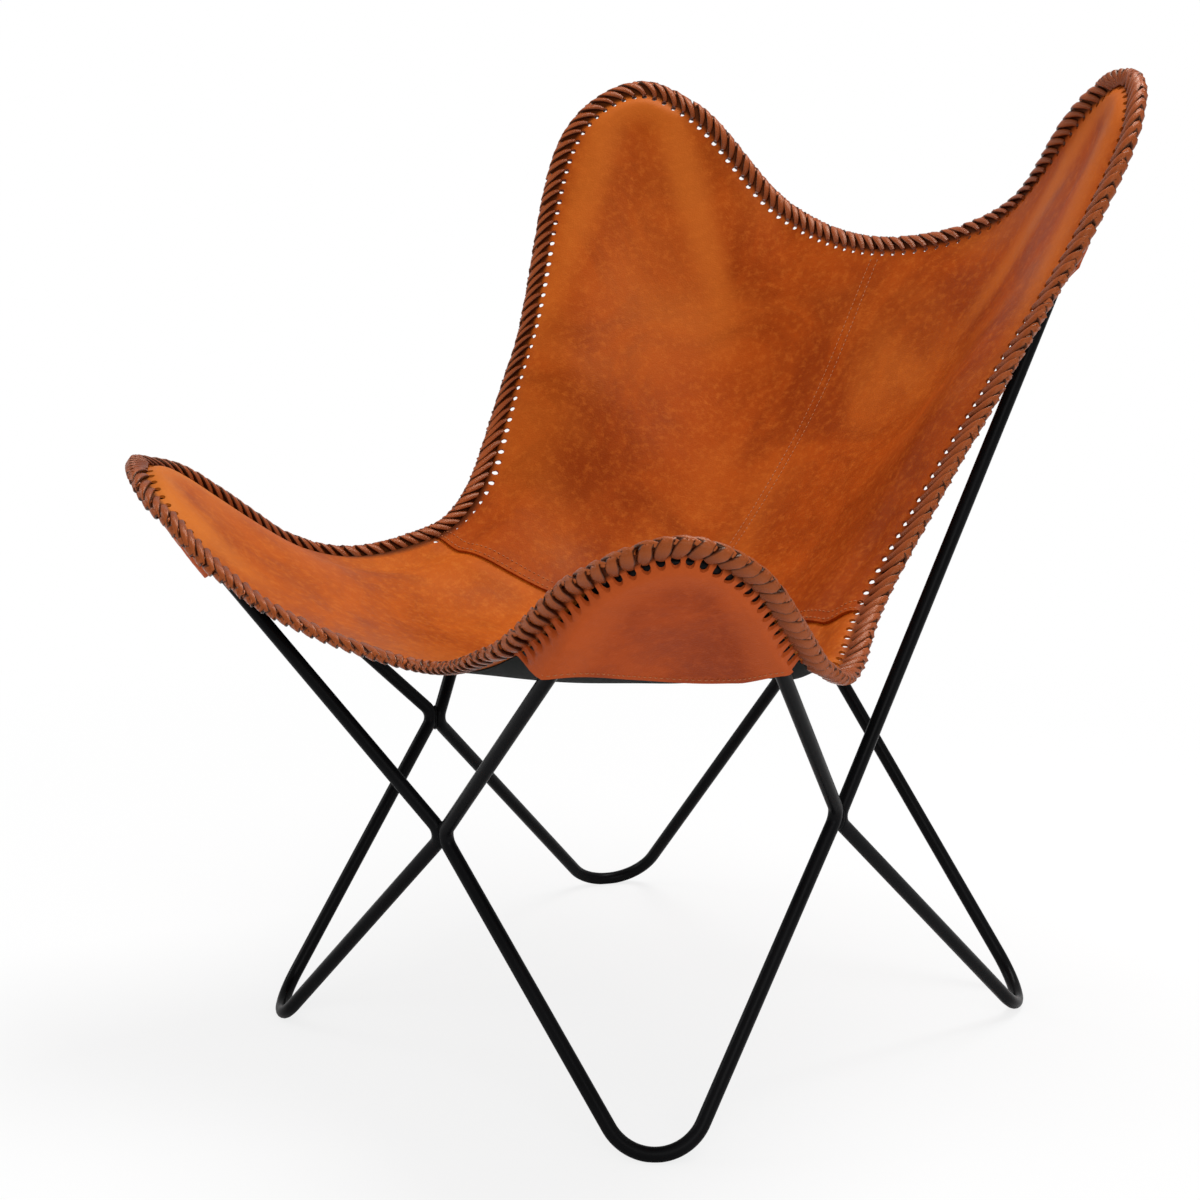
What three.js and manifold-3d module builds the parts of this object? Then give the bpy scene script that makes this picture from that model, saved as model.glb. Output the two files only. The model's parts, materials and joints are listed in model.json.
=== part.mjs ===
// Butterfly sling chair: four bent rod rings welded side by side, and a leather sling
// that hangs from their four tips.
// Millimetres. +Z is up, the sitter faces -Y, and the chair stands on z = 0.

import * as THREE from 'three';
import { mergeVertices } from 'three/addons/utils/BufferGeometryUtils.js';
import Module from 'manifold-3d';

// Fits
const fitGap = 0.3;
const cutOverrun = 30;
const joinWithin = 0.001;

// Rod of the four rings
const rodDiameter = 13;
const rodRadius = rodDiameter / 2;
const rodSides = 12;

// Floor bends: where the straight rods would meet, and the radius that rounds them off
const frontFloor = { out: 261, forward: 275, bend: 44 };
const backFloor = { out: 290.5, rear: 275, bend: 50 };
const floorFlatDepth = 1;

// Crossings, where two neighbouring rings bear on each other and are welded
const frontCross = { forward: 266, height: 231.6 };
const backCross = { rear: 261.5, height: 324.5 };
const sideCross = { out: 254, forward: 36, height: 249, stagger: 3.5, lapDegrees: 39 };
const kinkBend = 14;
const contactFlatShare = 0.7;
const weldRadius = 2.4;

// Tips: where the straight rods would meet, and the radius of the U-bend inside the pocket
const frontTip = { out: 379, forward: 379, height: 609, bend: 58 };
const backTip = { out: 327, rear: 357, height: 965, bend: 38 };

// Steps along each round bend
const tipSteps = 12;
const floorSteps = 14;
const kinkSteps = 6;
const settleSteps = 4;

// Leather
const leather = 2.6;
const liningCloth = 1;
const laceWidth = 15;
const laceCover = 2.2;
const laceGap = 0.35;
const laceShares = { shoulder: 0.3, cheek: 0.8, cheekRise: 0.5 };
const seamLap = 15;
const seamShare = 0.43;
const seamBow = { riseShare: 0.04, reachShare: 0.2 };

// Lobes of the sling at the tips, measured from the crown of the U-bend: reach is outwards,
// back is towards the crossings, half widths lie across, lifts are off the plane of the rods
const frontLobe = {
  reach: 14, innerBack: 15, innerHalf: 59, innerLift: 0, outerBack: 17, outerHalf: 52, outerLift: 0,
};
const backLobe = {
  reach: 14, innerBack: 15, innerHalf: 58, innerLift: 8, outerBack: 30, outerHalf: 64, outerLift: -6,
};

// Edges of the sling between the lobes, inside the lacing
const frontEdge = { forward: 292, height: 388, bowForward: 11, bowDrop: 25, bowShare: 0.54 };
const backEdge = { rear: 361, height: 714, bowRear: 17, bowDrop: 42, bowShare: 0.556 };
const flankLow = { out: 291, forward: 78, height: 398 };
const flankFront = { out: 10, drop: 33, alongShare: 0.65 };
const flankWaist = { out: -43, drop: 48, alongShare: 0.226 };
const flankUpper = { out: -34, drop: 51, alongShare: 0.591 };
const leftFlankLift = 26;
const leftLiftShares = [0.4, 1, 0.9, 0.25];

// Middle of the sling from front to back
const seatLow = { forward: 80, height: 348 };
const seamPlace = { rear: 49, height: 381 };
const backMiddle = { rear: 233, height: 535 };
const sagPowerShare = 2.9;

// How the leather rides over the rods: full stand-off within tentFlat of a rod, none beyond
// tentWidth on the sitter's side, or beyond pinchWidth on the far side
const tentSpare = 0.8;
const tentFlat = 14;
const tentWidth = 70;
const pinchWidth = 24;
const rodClear = {
  seat: rodRadius + leather / 2 + liningCloth + 2 * fitGap + tentSpare,
  back: rodRadius + leather / 2 + fitGap + tentSpare,
  pocket: rodRadius + leather / 2 + fitGap + tentSpare,
};
const layerDrop = {
  front: leather + liningCloth + 2 * fitGap,
  back: leather + fitGap,
};

// Steps of the sheets. A pocket reaches pocketSteps from its tip along both edges
const halfAcrossSteps = 12;
const seatSteps = 12;
const backSteps = 14;
const pocketSteps = 6;
const aroundSteps = 12;
const mouthBowShare = 0.45;
const nudgeShare = 0.02;
const sampleCount = 240;

const wasm = await Module();
wasm.setup();

const vec = (x, y, z) => new THREE.Vector3(x, y, z);
const lerp = (a, b, share) => a.clone().lerp(b, share);
const lerpNumber = THREE.MathUtils.lerp;
const towards = (a, b) => b.clone().sub(a).normalize();
const mirrored = (p, side) => vec(p.x * side, p.y, p.z);

function toSolid(geometry) {
  const bare = geometry.clone();
  bare.deleteAttribute('normal');
  bare.deleteAttribute('uv');
  const merged = mergeVertices(bare, joinWithin);
  const mesh = new wasm.Mesh({
    numProp: 3,
    vertProperties: new Float32Array(merged.attributes.position.array),
    triVerts: new Uint32Array(merged.index.array),
  });
  return new wasm.Manifold(mesh);
}

function toGeometry(solid) {
  const mesh = solid.getMesh();
  const geometry = new THREE.BufferGeometry();
  geometry.setAttribute('position', new THREE.BufferAttribute(new Float32Array(mesh.vertProperties), 3));
  geometry.setIndex(new THREE.BufferAttribute(new Uint32Array(mesh.triVerts), 1));
  geometry.computeVertexNormals();
  return geometry;
}

// A rounded corner between two straight rods that would meet at corner
function corner(place, before, after, radius, steps) {
  const a = towards(place, before);
  const b = towards(place, after);
  const inward = a.clone().add(b).normalize();
  const along = b.clone().sub(a).normalize();
  const half = a.angleTo(b) / 2;
  const centre = place.clone().addScaledVector(inward, radius / Math.sin(half));
  const turn = Math.PI / 2 - half;
  const stations = [];
  for (let i = 0; i <= steps; i += 1) {
    const angle = turn * (2 * i / steps - 1);
    const point = centre.clone()
      .addScaledVector(inward, -radius * Math.cos(angle))
      .addScaledVector(along, radius * Math.sin(angle));
    const tangent = along.clone().multiplyScalar(Math.cos(angle)).addScaledVector(inward, Math.sin(angle));
    stations.push({ point, tangent });
  }
  const crown = place.clone().addScaledVector(inward, radius / Math.sin(half) - radius);
  return { stations, crown, centre, inward, along, half };
}

// The corner point that puts the rounded rod's extreme point at a given level along a direction
function seatCorner(place, before, after, radius, direction, level) {
  const seated = place.clone();
  for (let pass = 0; pass < settleSteps; pass += 1) {
    const bend = corner(seated, before, after, radius, 1);
    const reach = radius * Math.hypot(bend.inward.dot(direction), bend.along.dot(direction));
    const extreme = bend.centre.dot(direction) - reach;
    seated.addScaledVector(direction, level - extreme);
  }
  return seated;
}

// A closed rod centre line: one station at each end of a straight, several round a bend
class RodLine extends THREE.Curve {
  constructor(stations) {
    super();
    this.stations = stations;
  }

  at(t, key, target) {
    const count = this.stations.length;
    const place = t * count;
    const first = Math.floor(place + 1e-9);
    const from = this.stations[first % count][key];
    const to = this.stations[(first + 1) % count][key];
    return target.copy(from).lerp(to, Math.max(place - first, 0));
  }

  getPoint(t, target = new THREE.Vector3()) {
    return this.at(t, 'point', target);
  }

  getPointAt(t, target = new THREE.Vector3()) {
    return this.at(t, 'point', target);
  }

  getTangent(t, target = new THREE.Vector3()) {
    return this.at(t, 'tangent', target).normalize();
  }

  getTangentAt(t, target = new THREE.Vector3()) {
    return this.at(t, 'tangent', target).normalize();
  }
}

// Directions in which neighbouring rings bear on each other
const lapAngle = THREE.MathUtils.degToRad(sideCross.lapDegrees);
const sideNormal = vec(Math.sin(lapAngle), -Math.cos(lapAngle), 0);
const outNormal = vec(1, 0, 0);
const up = vec(0, 0, 1);
const bearing = rodRadius * contactFlatShare + fitGap / 2;

const crossings = {
  front: vec(0, -frontCross.forward, frontCross.height),
  back: vec(0, backCross.rear, backCross.height),
  side: vec(sideCross.out, -sideCross.forward, sideCross.height),
};

// Corner points of the two right-hand rings; the left-hand ones are their mirror images
function ringPlan(isFront) {
  const middle = isFront ? crossings.front : crossings.back;
  const sign = isFront ? 1 : -1;
  const flank = crossings.side.clone().addScaledVector(up, sign * sideCross.stagger);
  const tip = isFront
    ? vec(frontTip.out, -frontTip.forward, frontTip.height)
    : vec(backTip.out, backTip.rear, backTip.height);
  const foot = isFront ? frontFloor : backFloor;
  const flankNormal = sideNormal.clone().multiplyScalar(sign);
  const flankLevel = flank.dot(flankNormal) + bearing;
  const floorLevel = rodRadius - floorFlatDepth;
  let footCorner = vec(foot.out, isFront ? -foot.forward : foot.rear, 0);
  let middleCorner = middle;
  let flankCorner = flank;
  for (let pass = 0; pass < settleSteps; pass += 1) {
    footCorner = seatCorner(footCorner, middleCorner, flankCorner, foot.bend, up, floorLevel);
    middleCorner = seatCorner(middle, tip, footCorner, kinkBend, outNormal, bearing);
    flankCorner = seatCorner(flank, footCorner, tip, kinkBend, flankNormal, flankLevel);
  }
  return {
    tip: corner(tip, middleCorner, flankCorner, (isFront ? frontTip : backTip).bend, tipSteps),
    flank: corner(flankCorner, tip, footCorner, kinkBend, kinkSteps),
    foot: corner(footCorner, flankCorner, middleCorner, foot.bend, floorSteps),
    middle: corner(middleCorner, footCorner, tip, kinkBend, kinkSteps),
  };
}

const plans = { front: ringPlan(true), back: ringPlan(false) };

function ringTube(plan, side, radius) {
  const stations = [plan.tip, plan.flank, plan.foot, plan.middle]
    .flatMap((bend) => bend.stations)
    .map((s) => ({ point: mirrored(s.point, side), tangent: mirrored(s.tangent, side) }));
  const line = new RodLine(stations);
  return new THREE.TubeGeometry(line, stations.length, radius, rodSides, true);
}

// A block that lies wholly on one side of a plane, for cutting a flat
function cutter(point, normal, width, depth) {
  const block = new THREE.BoxGeometry(width, width, depth);
  const turn = new THREE.Quaternion().setFromUnitVectors(up, normal);
  block.translate(0, 0, -depth / 2);
  block.applyQuaternion(turn);
  block.translate(point.x, point.y, point.z);
  return toSolid(block);
}

function ringSolid(name, side) {
  const isFront = name === 'front';
  const plan = plans[name];
  const middle = mirrored(isFront ? crossings.front : crossings.back, side);
  const flank = mirrored(crossings.side, side);
  const inwardNormal = vec(side, 0, 0);
  const flankNormal = mirrored(sideNormal, side).multiplyScalar(isFront ? 1 : -1);
  const lowest = vec(plan.foot.crown.x * side, plan.foot.crown.y, 0);
  const cuts = [
    cutter(middle.addScaledVector(inwardNormal, fitGap / 2), inwardNormal, cutOverrun, cutOverrun),
    cutter(flank.addScaledVector(flankNormal, fitGap / 2), flankNormal, cutOverrun, cutOverrun),
    cutter(lowest, up, cutOverrun + foot(isFront).bend, cutOverrun),
  ];
  let solid = toSolid(ringTube(plan, side, rodRadius));
  for (const cut of cuts) {
    solid = solid.subtract(cut);
  }
  return toGeometry(solid);
}

function foot(isFront) {
  return isFront ? frontFloor : backFloor;
}

// Half the length of the flat that the bearing plane leaves on the outside of a rod's bend
function flatHalfLength(bend) {
  const outside = kinkBend + rodRadius;
  const depth = rodRadius - bearing;
  const turn = Math.PI / 2 - bend.half;
  const arcDepth = outside * (1 - Math.cos(turn));
  return arcDepth < depth
    ? outside * Math.sin(turn) + (depth - arcDepth) / Math.tan(turn)
    : Math.sqrt(outside ** 2 - (outside - depth) ** 2);
}

// Weld bead: a ring of weld metal laid round the contact flat, long the way the rods run there,
// filling the groove between them
function weldSolid(place, normal, kink, neighbours) {
  const halfLength = Math.max(...neighbours.map(([plan]) => flatHalfLength(plan[kink])));
  const halfWidth = Math.sqrt(rodRadius ** 2 - bearing ** 2);
  const run = vec(0, 0, 0);
  for (const [plan, side] of neighbours) {
    run.add(mirrored(plan[kink].along, side));
  }
  run.addScaledVector(normal, -run.dot(normal)).normalize();
  const bead = new THREE.TorusGeometry(halfWidth, weldRadius, 8, 20);
  bead.scale(1, halfLength / halfWidth, 1);
  const basis = new THREE.Matrix4().makeBasis(run.clone().cross(normal).normalize(), run, normal);
  bead.applyMatrix4(basis);
  bead.translate(place.x, place.y, place.z);
  let solid = toSolid(bead);
  for (const [plan, side] of neighbours) {
    solid = solid.subtract(toSolid(ringTube(plan, side, rodRadius + fitGap)));
  }
  return toGeometry(solid);
}

// The sling's edge as one closed curve through named stations, right side first
function lobeStations(plan, lobe) {
  const { crown, inward, along } = plan.tip;
  const outward = inward.clone().negate();
  const lift = along.clone().cross(outward).normalize();
  if (lift.z < 0) {
    lift.negate();
  }
  const at = (out, across, rise) => crown.clone()
    .addScaledVector(outward, out)
    .addScaledVector(along, across)
    .addScaledVector(lift, rise);
  return {
    inner: at(-lobe.innerBack, -lobe.innerHalf, lobe.innerLift),
    apex: at(lobe.reach, 0, 0),
    outer: at(-lobe.outerBack, lobe.outerHalf, lobe.outerLift),
  };
}

function edgeStations(side) {
  const front = lobeStations(plans.front, frontLobe);
  const back = lobeStations(plans.back, backLobe);
  const frontCentre = vec(0, -frontEdge.forward, frontEdge.height);
  const backCentre = vec(0, backEdge.rear, backEdge.height);
  const low = vec(flankLow.out, -flankLow.forward, flankLow.height);
  const beside = (a, b, place) => lerp(a, b, place.alongShare).add(vec(place.out, 0, -place.drop));
  const frontBow = lerp(frontCentre, front.inner, frontEdge.bowShare)
    .add(vec(0, -frontEdge.bowForward, -frontEdge.bowDrop));
  const backBow = lerp(backCentre, back.inner, backEdge.bowShare)
    .add(vec(0, backEdge.bowRear, -backEdge.bowDrop));
  const flank = [
    front.outer,
    beside(front.outer, low, flankFront),
    low,
    beside(low, back.outer, flankWaist),
    beside(low, back.outer, flankUpper),
  ];
  if (side < 0) {
    leftLiftShares.forEach((share, i) => {
      flank[i] = flank[i].clone().addScaledVector(up, leftFlankLift * share);
    });
  }
  return {
    rim: [frontCentre, frontBow, front.inner, front.apex],
    flank: [...flank, back.outer],
    top: [back.apex, back.inner, backBow, backCentre],
  };
}

const rightEdge = edgeStations(1);
const leftEdge = edgeStations(-1);
const rightStations = [...rightEdge.rim, ...rightEdge.flank, ...rightEdge.top];
const leftStations = [...leftEdge.rim, ...leftEdge.flank, ...leftEdge.top]
  .map((p) => mirrored(p, -1))
  .slice(1, -1)
  .reverse();
const edgeLoop = new THREE.CatmullRomCurve3([...rightStations, ...leftStations], true, 'centripetal');

// A stretch of the loop, read by its share of length
function stretch(curve, from, to) {
  const points = [];
  for (let i = 0; i <= sampleCount; i += 1) {
    const t = THREE.MathUtils.lerp(from, to, i / sampleCount);
    points.push(curve.getPoint(((t % 1) + 1) % 1));
  }
  const lengths = [0];
  for (let i = 1; i < points.length; i += 1) {
    lengths.push(lengths[i - 1] + points[i].distanceTo(points[i - 1]));
  }
  const total = lengths[sampleCount];
  const read = (share) => {
    const wanted = THREE.MathUtils.clamp(share, 0, 1) * total;
    let i = 1;
    while (i < sampleCount && lengths[i] < wanted) {
      i += 1;
    }
    const part = (wanted - lengths[i - 1]) / (lengths[i] - lengths[i - 1]);
    return lerp(points[i - 1], points[i], part);
  };
  return { read, total };
}

const stationCount = rightStations.length + leftStations.length;
const rimCount = rightEdge.rim.length - 1;
const topStart = rimCount + rightEdge.flank.length + 1;
const backMiddleStation = rightStations.length - 1;
const frontRight = stretch(edgeLoop, 0, rimCount / stationCount);
const frontLeft = stretch(edgeLoop, 0, -rimCount / stationCount);
const flankRight = stretch(edgeLoop, rimCount / stationCount, topStart / stationCount);
const flankLeft = stretch(edgeLoop, -rimCount / stationCount, -topStart / stationCount);
const topRight = stretch(edgeLoop, backMiddleStation / stationCount, topStart / stationCount);
const topLeft = stretch(edgeLoop, backMiddleStation / stationCount, 1 - topStart / stationCount);
const middleLine = stretch(new THREE.CatmullRomCurve3([
  rightStations[0],
  vec(0, -seatLow.forward, seatLow.height),
  vec(0, seamPlace.rear, seamPlace.height),
  vec(0, backMiddle.rear, backMiddle.height),
  rightStations[backMiddleStation],
], false, 'centripetal'), 0, 0.999999);

// The sling as one surface: across runs from -1 (left) to 1 (right), along from 0 (front) to 1 (back)
const frontAt = (across) => (across < 0 ? frontLeft : frontRight).read(Math.abs(across));
const topAt = (across) => (across < 0 ? topLeft : topRight).read(Math.abs(across));

function spanned(across, along) {
  const right = (1 + across) / 2;
  const lengthwise = lerp(frontAt(across), topAt(across), along);
  const crosswise = lerp(flankLeft.read(along), flankRight.read(along), right);
  const corners = lerp(
    lerp(frontAt(-1), frontAt(1), right),
    lerp(topAt(-1), topAt(1), right),
    along,
  );
  return lengthwise.add(crosswise).sub(corners);
}

const middleMisses = new Map();

function middleMiss(along) {
  const key = along.toFixed(6);
  if (!middleMisses.has(key)) {
    middleMisses.set(key, middleLine.read(along).sub(spanned(0, along)));
  }
  return middleMisses.get(key);
}

function slingPoint(across, along) {
  const sag = 1 - Math.abs(across) ** sagPowerShare;
  return spanned(across, along).addScaledVector(middleMiss(along), sag);
}

function slingNormal(across, along) {
  const a = across * (1 - 2 * nudgeShare);
  const l = 0.5 + (along - 0.5) * (1 - 2 * nudgeShare);
  const du = slingPoint(a + nudgeShare, l).sub(slingPoint(a - nudgeShare, l));
  const dv = slingPoint(a, l + nudgeShare / 2).sub(slingPoint(a, l - nudgeShare / 2));
  return du.cross(dv).normalize();
}

// Points down the straight rods and round the U-bends that the leather may touch
function rodSamples(plan, side) {
  const spacing = rodDiameter / 2;
  const bends = plan.tip.stations.map((s) => s.point);
  const straights = [
    [plan.tip.stations[0].point, plan.middle.stations[kinkSteps].point],
    [plan.tip.stations[tipSteps].point, plan.flank.stations[0].point],
  ];
  for (const [from, to] of straights) {
    const count = Math.ceil(from.distanceTo(to) / spacing);
    for (let i = 1; i < count; i += 1) {
      bends.push(lerp(from, to, i / count));
    }
  }
  return bends.map((p) => mirrored(p, side));
}

const rodPoints = {
  front: { 1: rodSamples(plans.front, 1), '-1': rodSamples(plans.front, -1) },
  back: { 1: rodSamples(plans.back, 1), '-1': rodSamples(plans.back, -1) },
};

// How far the leather stands off the plain surface, above (sense 1) or below (sense -1) the rods
function standOff(point, normal, rods, sense, clear, width) {
  let most = 0;
  for (const rod of rods) {
    const offset = rod.clone().sub(point);
    const height = offset.dot(normal);
    const lateral = Math.sqrt(Math.max(offset.lengthSq() - height * height, 0));
    const fade = 1 - THREE.MathUtils.smoothstep(lateral, tentFlat, width);
    most = Math.max(most, (sense * height + clear) * fade);
  }
  return most;
}

function aboveRods(point, normal, across, level) {
  const part = level < seamShare ? 'front' : 'back';
  const clear = part === 'front' ? rodClear.seat : rodClear.back;
  return standOff(point, normal, rodPoints[part][across < 0 ? -1 : 1], 1, clear, tentWidth);
}

function belowRods(point, normal, across, along) {
  const part = along < seamShare ? 'front' : 'back';
  const rods = rodPoints[part][across < 0 ? -1 : 1];
  return Math.max(standOff(point, normal, rods, -1, rodClear.pocket, pinchWidth), layerDrop[part]);
}

// The border of a grid as a closed round of [row, place]
function borderRound(lastRow, lastPlace) {
  const count = (number) => [...Array(number).keys()];
  return [
    ...count(lastPlace).map((i) => [0, i]),
    ...count(lastRow).map((j) => [j, lastPlace]),
    ...count(lastPlace).map((i) => [lastRow, lastPlace - i]),
    ...count(lastRow).map((j) => [lastRow - j, 0]),
  ];
}

// A closed sheet of even thickness from a grid of middle points and normals
function sheetGeometry(rows, thickness) {
  const across = rows[0].length;
  const positions = [];
  for (const face of [1, -1]) {
    for (const { point, normal } of rows.flat()) {
      positions.push(...point.clone().addScaledVector(normal, face * thickness / 2).toArray());
    }
  }
  const layer = rows.length * across;
  const id = (j, i, lower) => lower * layer + j * across + i;
  const index = [];
  const quad = (a, b, c, d) => index.push(a, b, c, a, c, d);
  for (let j = 0; j < rows.length - 1; j += 1) {
    for (let i = 0; i < across - 1; i += 1) {
      quad(id(j, i, 0), id(j, i + 1, 0), id(j + 1, i + 1, 0), id(j + 1, i, 0));
      quad(id(j, i, 1), id(j + 1, i, 1), id(j + 1, i + 1, 1), id(j, i + 1, 1));
    }
  }
  const border = borderRound(rows.length - 1, across - 1);
  border.forEach(([j, i], k) => {
    const [nj, ni] = border[(k + 1) % border.length];
    quad(id(j, i, 0), id(j, i, 1), id(nj, ni, 1), id(nj, ni, 0));
  });
  return closedGeometry(positions, index);
}

// Joins equal corners and drops the faces that have shrunk to nothing
function closedGeometry(positions, index) {
  const geometry = new THREE.BufferGeometry();
  geometry.setAttribute('position', new THREE.Float32BufferAttribute(positions, 3));
  geometry.setIndex(index);
  const merged = mergeVertices(geometry, joinWithin);
  const faces = merged.index.array;
  const kept = [];
  for (let f = 0; f < faces.length; f += 3) {
    const [a, b, c] = [faces[f], faces[f + 1], faces[f + 2]];
    if (a !== b && b !== c && c !== a) {
      kept.push(a, b, c);
    }
  }
  merged.setIndex(kept);
  merged.computeVertexNormals();
  return merged;
}

// Levels along the sling and places across it at which all the sheets and the lacing have corners
const evenly = (from, to, cells) => [...Array(cells + 1).keys()]
  .map((i) => THREE.MathUtils.lerp(from, to, i / cells));
const lapShare = seamLap / middleLine.total;
const lapStart = seamShare - lapShare;
const diveStart = lapStart - lapShare;
const seatLevels = [...evenly(0, diveStart, seatSteps), lapStart, seamShare];
const backLevels = [lapStart, ...evenly(seamShare, 1, backSteps)];
const flankLevels = [...seatLevels, ...backLevels.slice(2)];
const seamGapShare = fitGap / 2 / frontRight.total;
const rightPlaces = [seamGapShare, ...evenly(0, 1, halfAcrossSteps).slice(1)];
const leftPlaces = rightPlaces.map((place) => -place).reverse();
const allPlaces = evenly(-1, 1, 2 * halfAcrossSteps);

// The seam between seat and back bows forward towards the flanks, and its neighbours with it
function bowed(across, level) {
  const apart = Math.min(Math.abs(level - seamShare) / seamBow.reachShare, 1);
  return level - seamBow.riseShare * across * across * (1 + Math.cos(Math.PI * apart)) / 2;
}

function panelRows(levels, places, height) {
  return levels.map((level) => places.map((across) => {
    const along = bowed(across, level);
    const normal = slingNormal(across, along);
    const flat = slingPoint(across, along);
    const lift = height(flat, normal, across, level);
    return { point: flat.addScaledVector(normal, lift), normal };
  }));
}

// The seat dives under the back panels where the two are sewn together
function seatHeight(point, normal, across, level) {
  const dive = THREE.MathUtils.clamp((level - diveStart) / lapShare, 0, 1);
  return aboveRods(point, normal, across, Math.min(level, diveStart)) - dive * (leather + fitGap);
}

function liningHeight(point, normal, across, level) {
  return seatHeight(point, normal, across, level) - leather / 2 - fitGap - liningCloth / 2;
}

// A layer pulled taut from rod to rod sinks to the straight line between its deepest places
function taut(drops) {
  return drops.map((drop, i) => {
    let most = drop;
    for (let a = 0; a < i; a += 1) {
      for (let b = i + 1; b < drops.length; b += 1) {
        most = Math.max(most, lerpNumber(drops[a], drops[b], (i - a) / (b - a)));
      }
    }
    return most;
  });
}

// A pocket under a tip, on the far side of the rods: rows run from the mouth to the tip
function pocketRows(isFront, side) {
  const rows = [];
  for (let j = 0; j <= pocketSteps; j += 1) {
    const edgePlace = 1 - (pocketSteps - j) / halfAcrossSteps;
    const edgeLevel = isFront ? seatLevels[pocketSteps - j] : backLevels.at(j - pocketSteps - 1);
    const endLevel = isFront ? 0 : 1;
    const spots = evenly(0, 1, aroundSteps).map((turn) => {
      const bow = 1 + mouthBowShare * Math.sin(Math.PI * turn) ** 2;
      const across = side * (1 - (1 - edgePlace) * (1 - turn) * bow);
      const along = endLevel + (edgeLevel - endLevel) * turn * bow;
      const normal = slingNormal(across, along);
      const point = slingPoint(across, along);
      return { point, normal, drop: belowRods(point, normal, across, along) };
    });
    const drops = taut(spots.map((spot) => spot.drop));
    const row = spots.map(({ point, normal }, i) => (
      { point: point.addScaledVector(normal, -drops[i]), normal }
    ));
    rows.push((isFront === side > 0) ? row.reverse() : row);
  }
  return rows;
}

// The edge of the sling as a closed round of places, counter-clockwise from the front left tip
const edgeRuns = {
  front: allPlaces.map((across) => [across, 0]),
  right: flankLevels.map((along) => [1, along]),
  back: allPlaces.map((across) => [-across, 1]),
  left: flankLevels.map((along) => [-1, along]).reverse(),
};

function inPocket(across, level) {
  const nearRim = level < seamShare ? level <= seatLevels[pocketSteps] : level >= backLevels.at(-1 - pocketSteps);
  return nearRim && 1 - Math.abs(across) <= pocketSteps / halfAcrossSteps;
}

// Section of the lacing at one place: a flat inner face against the sheets, rounded outside
function laceSection([across, level], before, after) {
  const along = bowed(across, level);
  const point = slingPoint(across, along);
  const normal = slingNormal(across, along);
  const inner = slingPoint(across * (1 - 2 * nudgeShare), 0.5 + (along - 0.5) * (1 - 2 * nudgeShare));
  const neighbour = ([place, at]) => slingPoint(place, bowed(place, at));
  const tangent = towards(neighbour(before), neighbour(after));
  const outward = point.clone().sub(inner);
  outward.addScaledVector(tangent, -outward.dot(tangent));
  outward.addScaledVector(normal, -outward.dot(normal)).normalize();
  const sheet = aboveRods(point, normal, across, level < seamShare ? Math.min(level, diveStart) : level);
  const under = inPocket(across, level)
    ? belowRods(point, normal, across, level) + leather / 2
    : layerDrop.front;
  const top = sheet + leather / 2 + laceCover;
  const base = -under - laceCover;
  const middle = (top + base) / 2;
  const put = (out, rise) => point.clone().addScaledVector(outward, out).addScaledVector(normal, rise);
  const outline = [
    put(laceGap, base),
    put(laceGap, -under),
    put(laceGap, sheet - leather / 2),
    put(laceGap, sheet + leather / 2),
    put(laceGap, top),
    put(laceWidth * laceShares.shoulder, top),
    put(laceWidth * laceShares.cheek, lerpNumber(middle, top, laceShares.cheekRise)),
    put(laceWidth, middle),
    put(laceWidth * laceShares.cheek, lerpNumber(middle, base, laceShares.cheekRise)),
    put(laceWidth * laceShares.shoulder, base),
  ];
  return { outline, tangent };
}

function laceGeometry(name) {
  const names = Object.keys(edgeRuns);
  const turn = names.indexOf(name);
  const earlier = edgeRuns[names.at(turn - 1)];
  const later = edgeRuns[names[(turn + 1) % names.length]];
  const run = edgeRuns[name];
  const sections = run.map((station, i) => {
    const before = i > 0 ? run[i - 1] : earlier.at(-2);
    const after = i < run.length - 1 ? run[i + 1] : later[1];
    const { outline, tangent } = laceSection(station, before, after);
    const isEnd = i === 0 || i === run.length - 1;
    const shift = isEnd ? (i === 0 ? 1 : -1) * fitGap / 2 : 0;
    return outline.map((p) => p.addScaledVector(tangent, shift));
  });
  const sides = sections[0].length;
  const last = (sections.length - 1) * sides;
  const index = [];
  for (let start = 0; start < last; start += sides) {
    for (let k = 0; k < sides; k += 1) {
      const a = start + k;
      const b = start + (k + 1) % sides;
      index.push(a, b, b + sides, a, b + sides, a + sides);
    }
  }
  for (let k = 1; k < sides - 1; k += 1) {
    index.push(0, k + 1, k, last, last + k, last + k + 1);
  }
  return closedGeometry(sections.flat().flatMap((p) => p.toArray()), index);
}

// Materials
const finishes = {
  steel: new THREE.MeshStandardMaterial({ color: 0x17181a, roughness: 0.38, metalness: 0.6 }),
  leather: new THREE.MeshStandardMaterial({ color: 0xa8551f, roughness: 0.5, metalness: 0 }),
  pocket: new THREE.MeshStandardMaterial({ color: 0x8f4522, roughness: 0.5, metalness: 0 }),
  lace: new THREE.MeshStandardMaterial({ color: 0x6f3a1d, roughness: 0.45, metalness: 0 }),
  lining: new THREE.MeshStandardMaterial({ color: 0x232625, roughness: 0.9, metalness: 0 }),
};

const chair = new THREE.Group();
chair.name = 'butterfly_chair';

function place(name, geometry, finish) {
  const mesh = new THREE.Mesh(geometry, finishes[finish]);
  mesh.name = name;
  chair.add(mesh);
}

const sides = [['right', 1], ['left', -1]];

for (const [word, side] of sides) {
  place(`ring_front_${word}`, ringSolid('front', side), 'steel');
  place(`ring_back_${word}`, ringSolid('back', side), 'steel');
}

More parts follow.
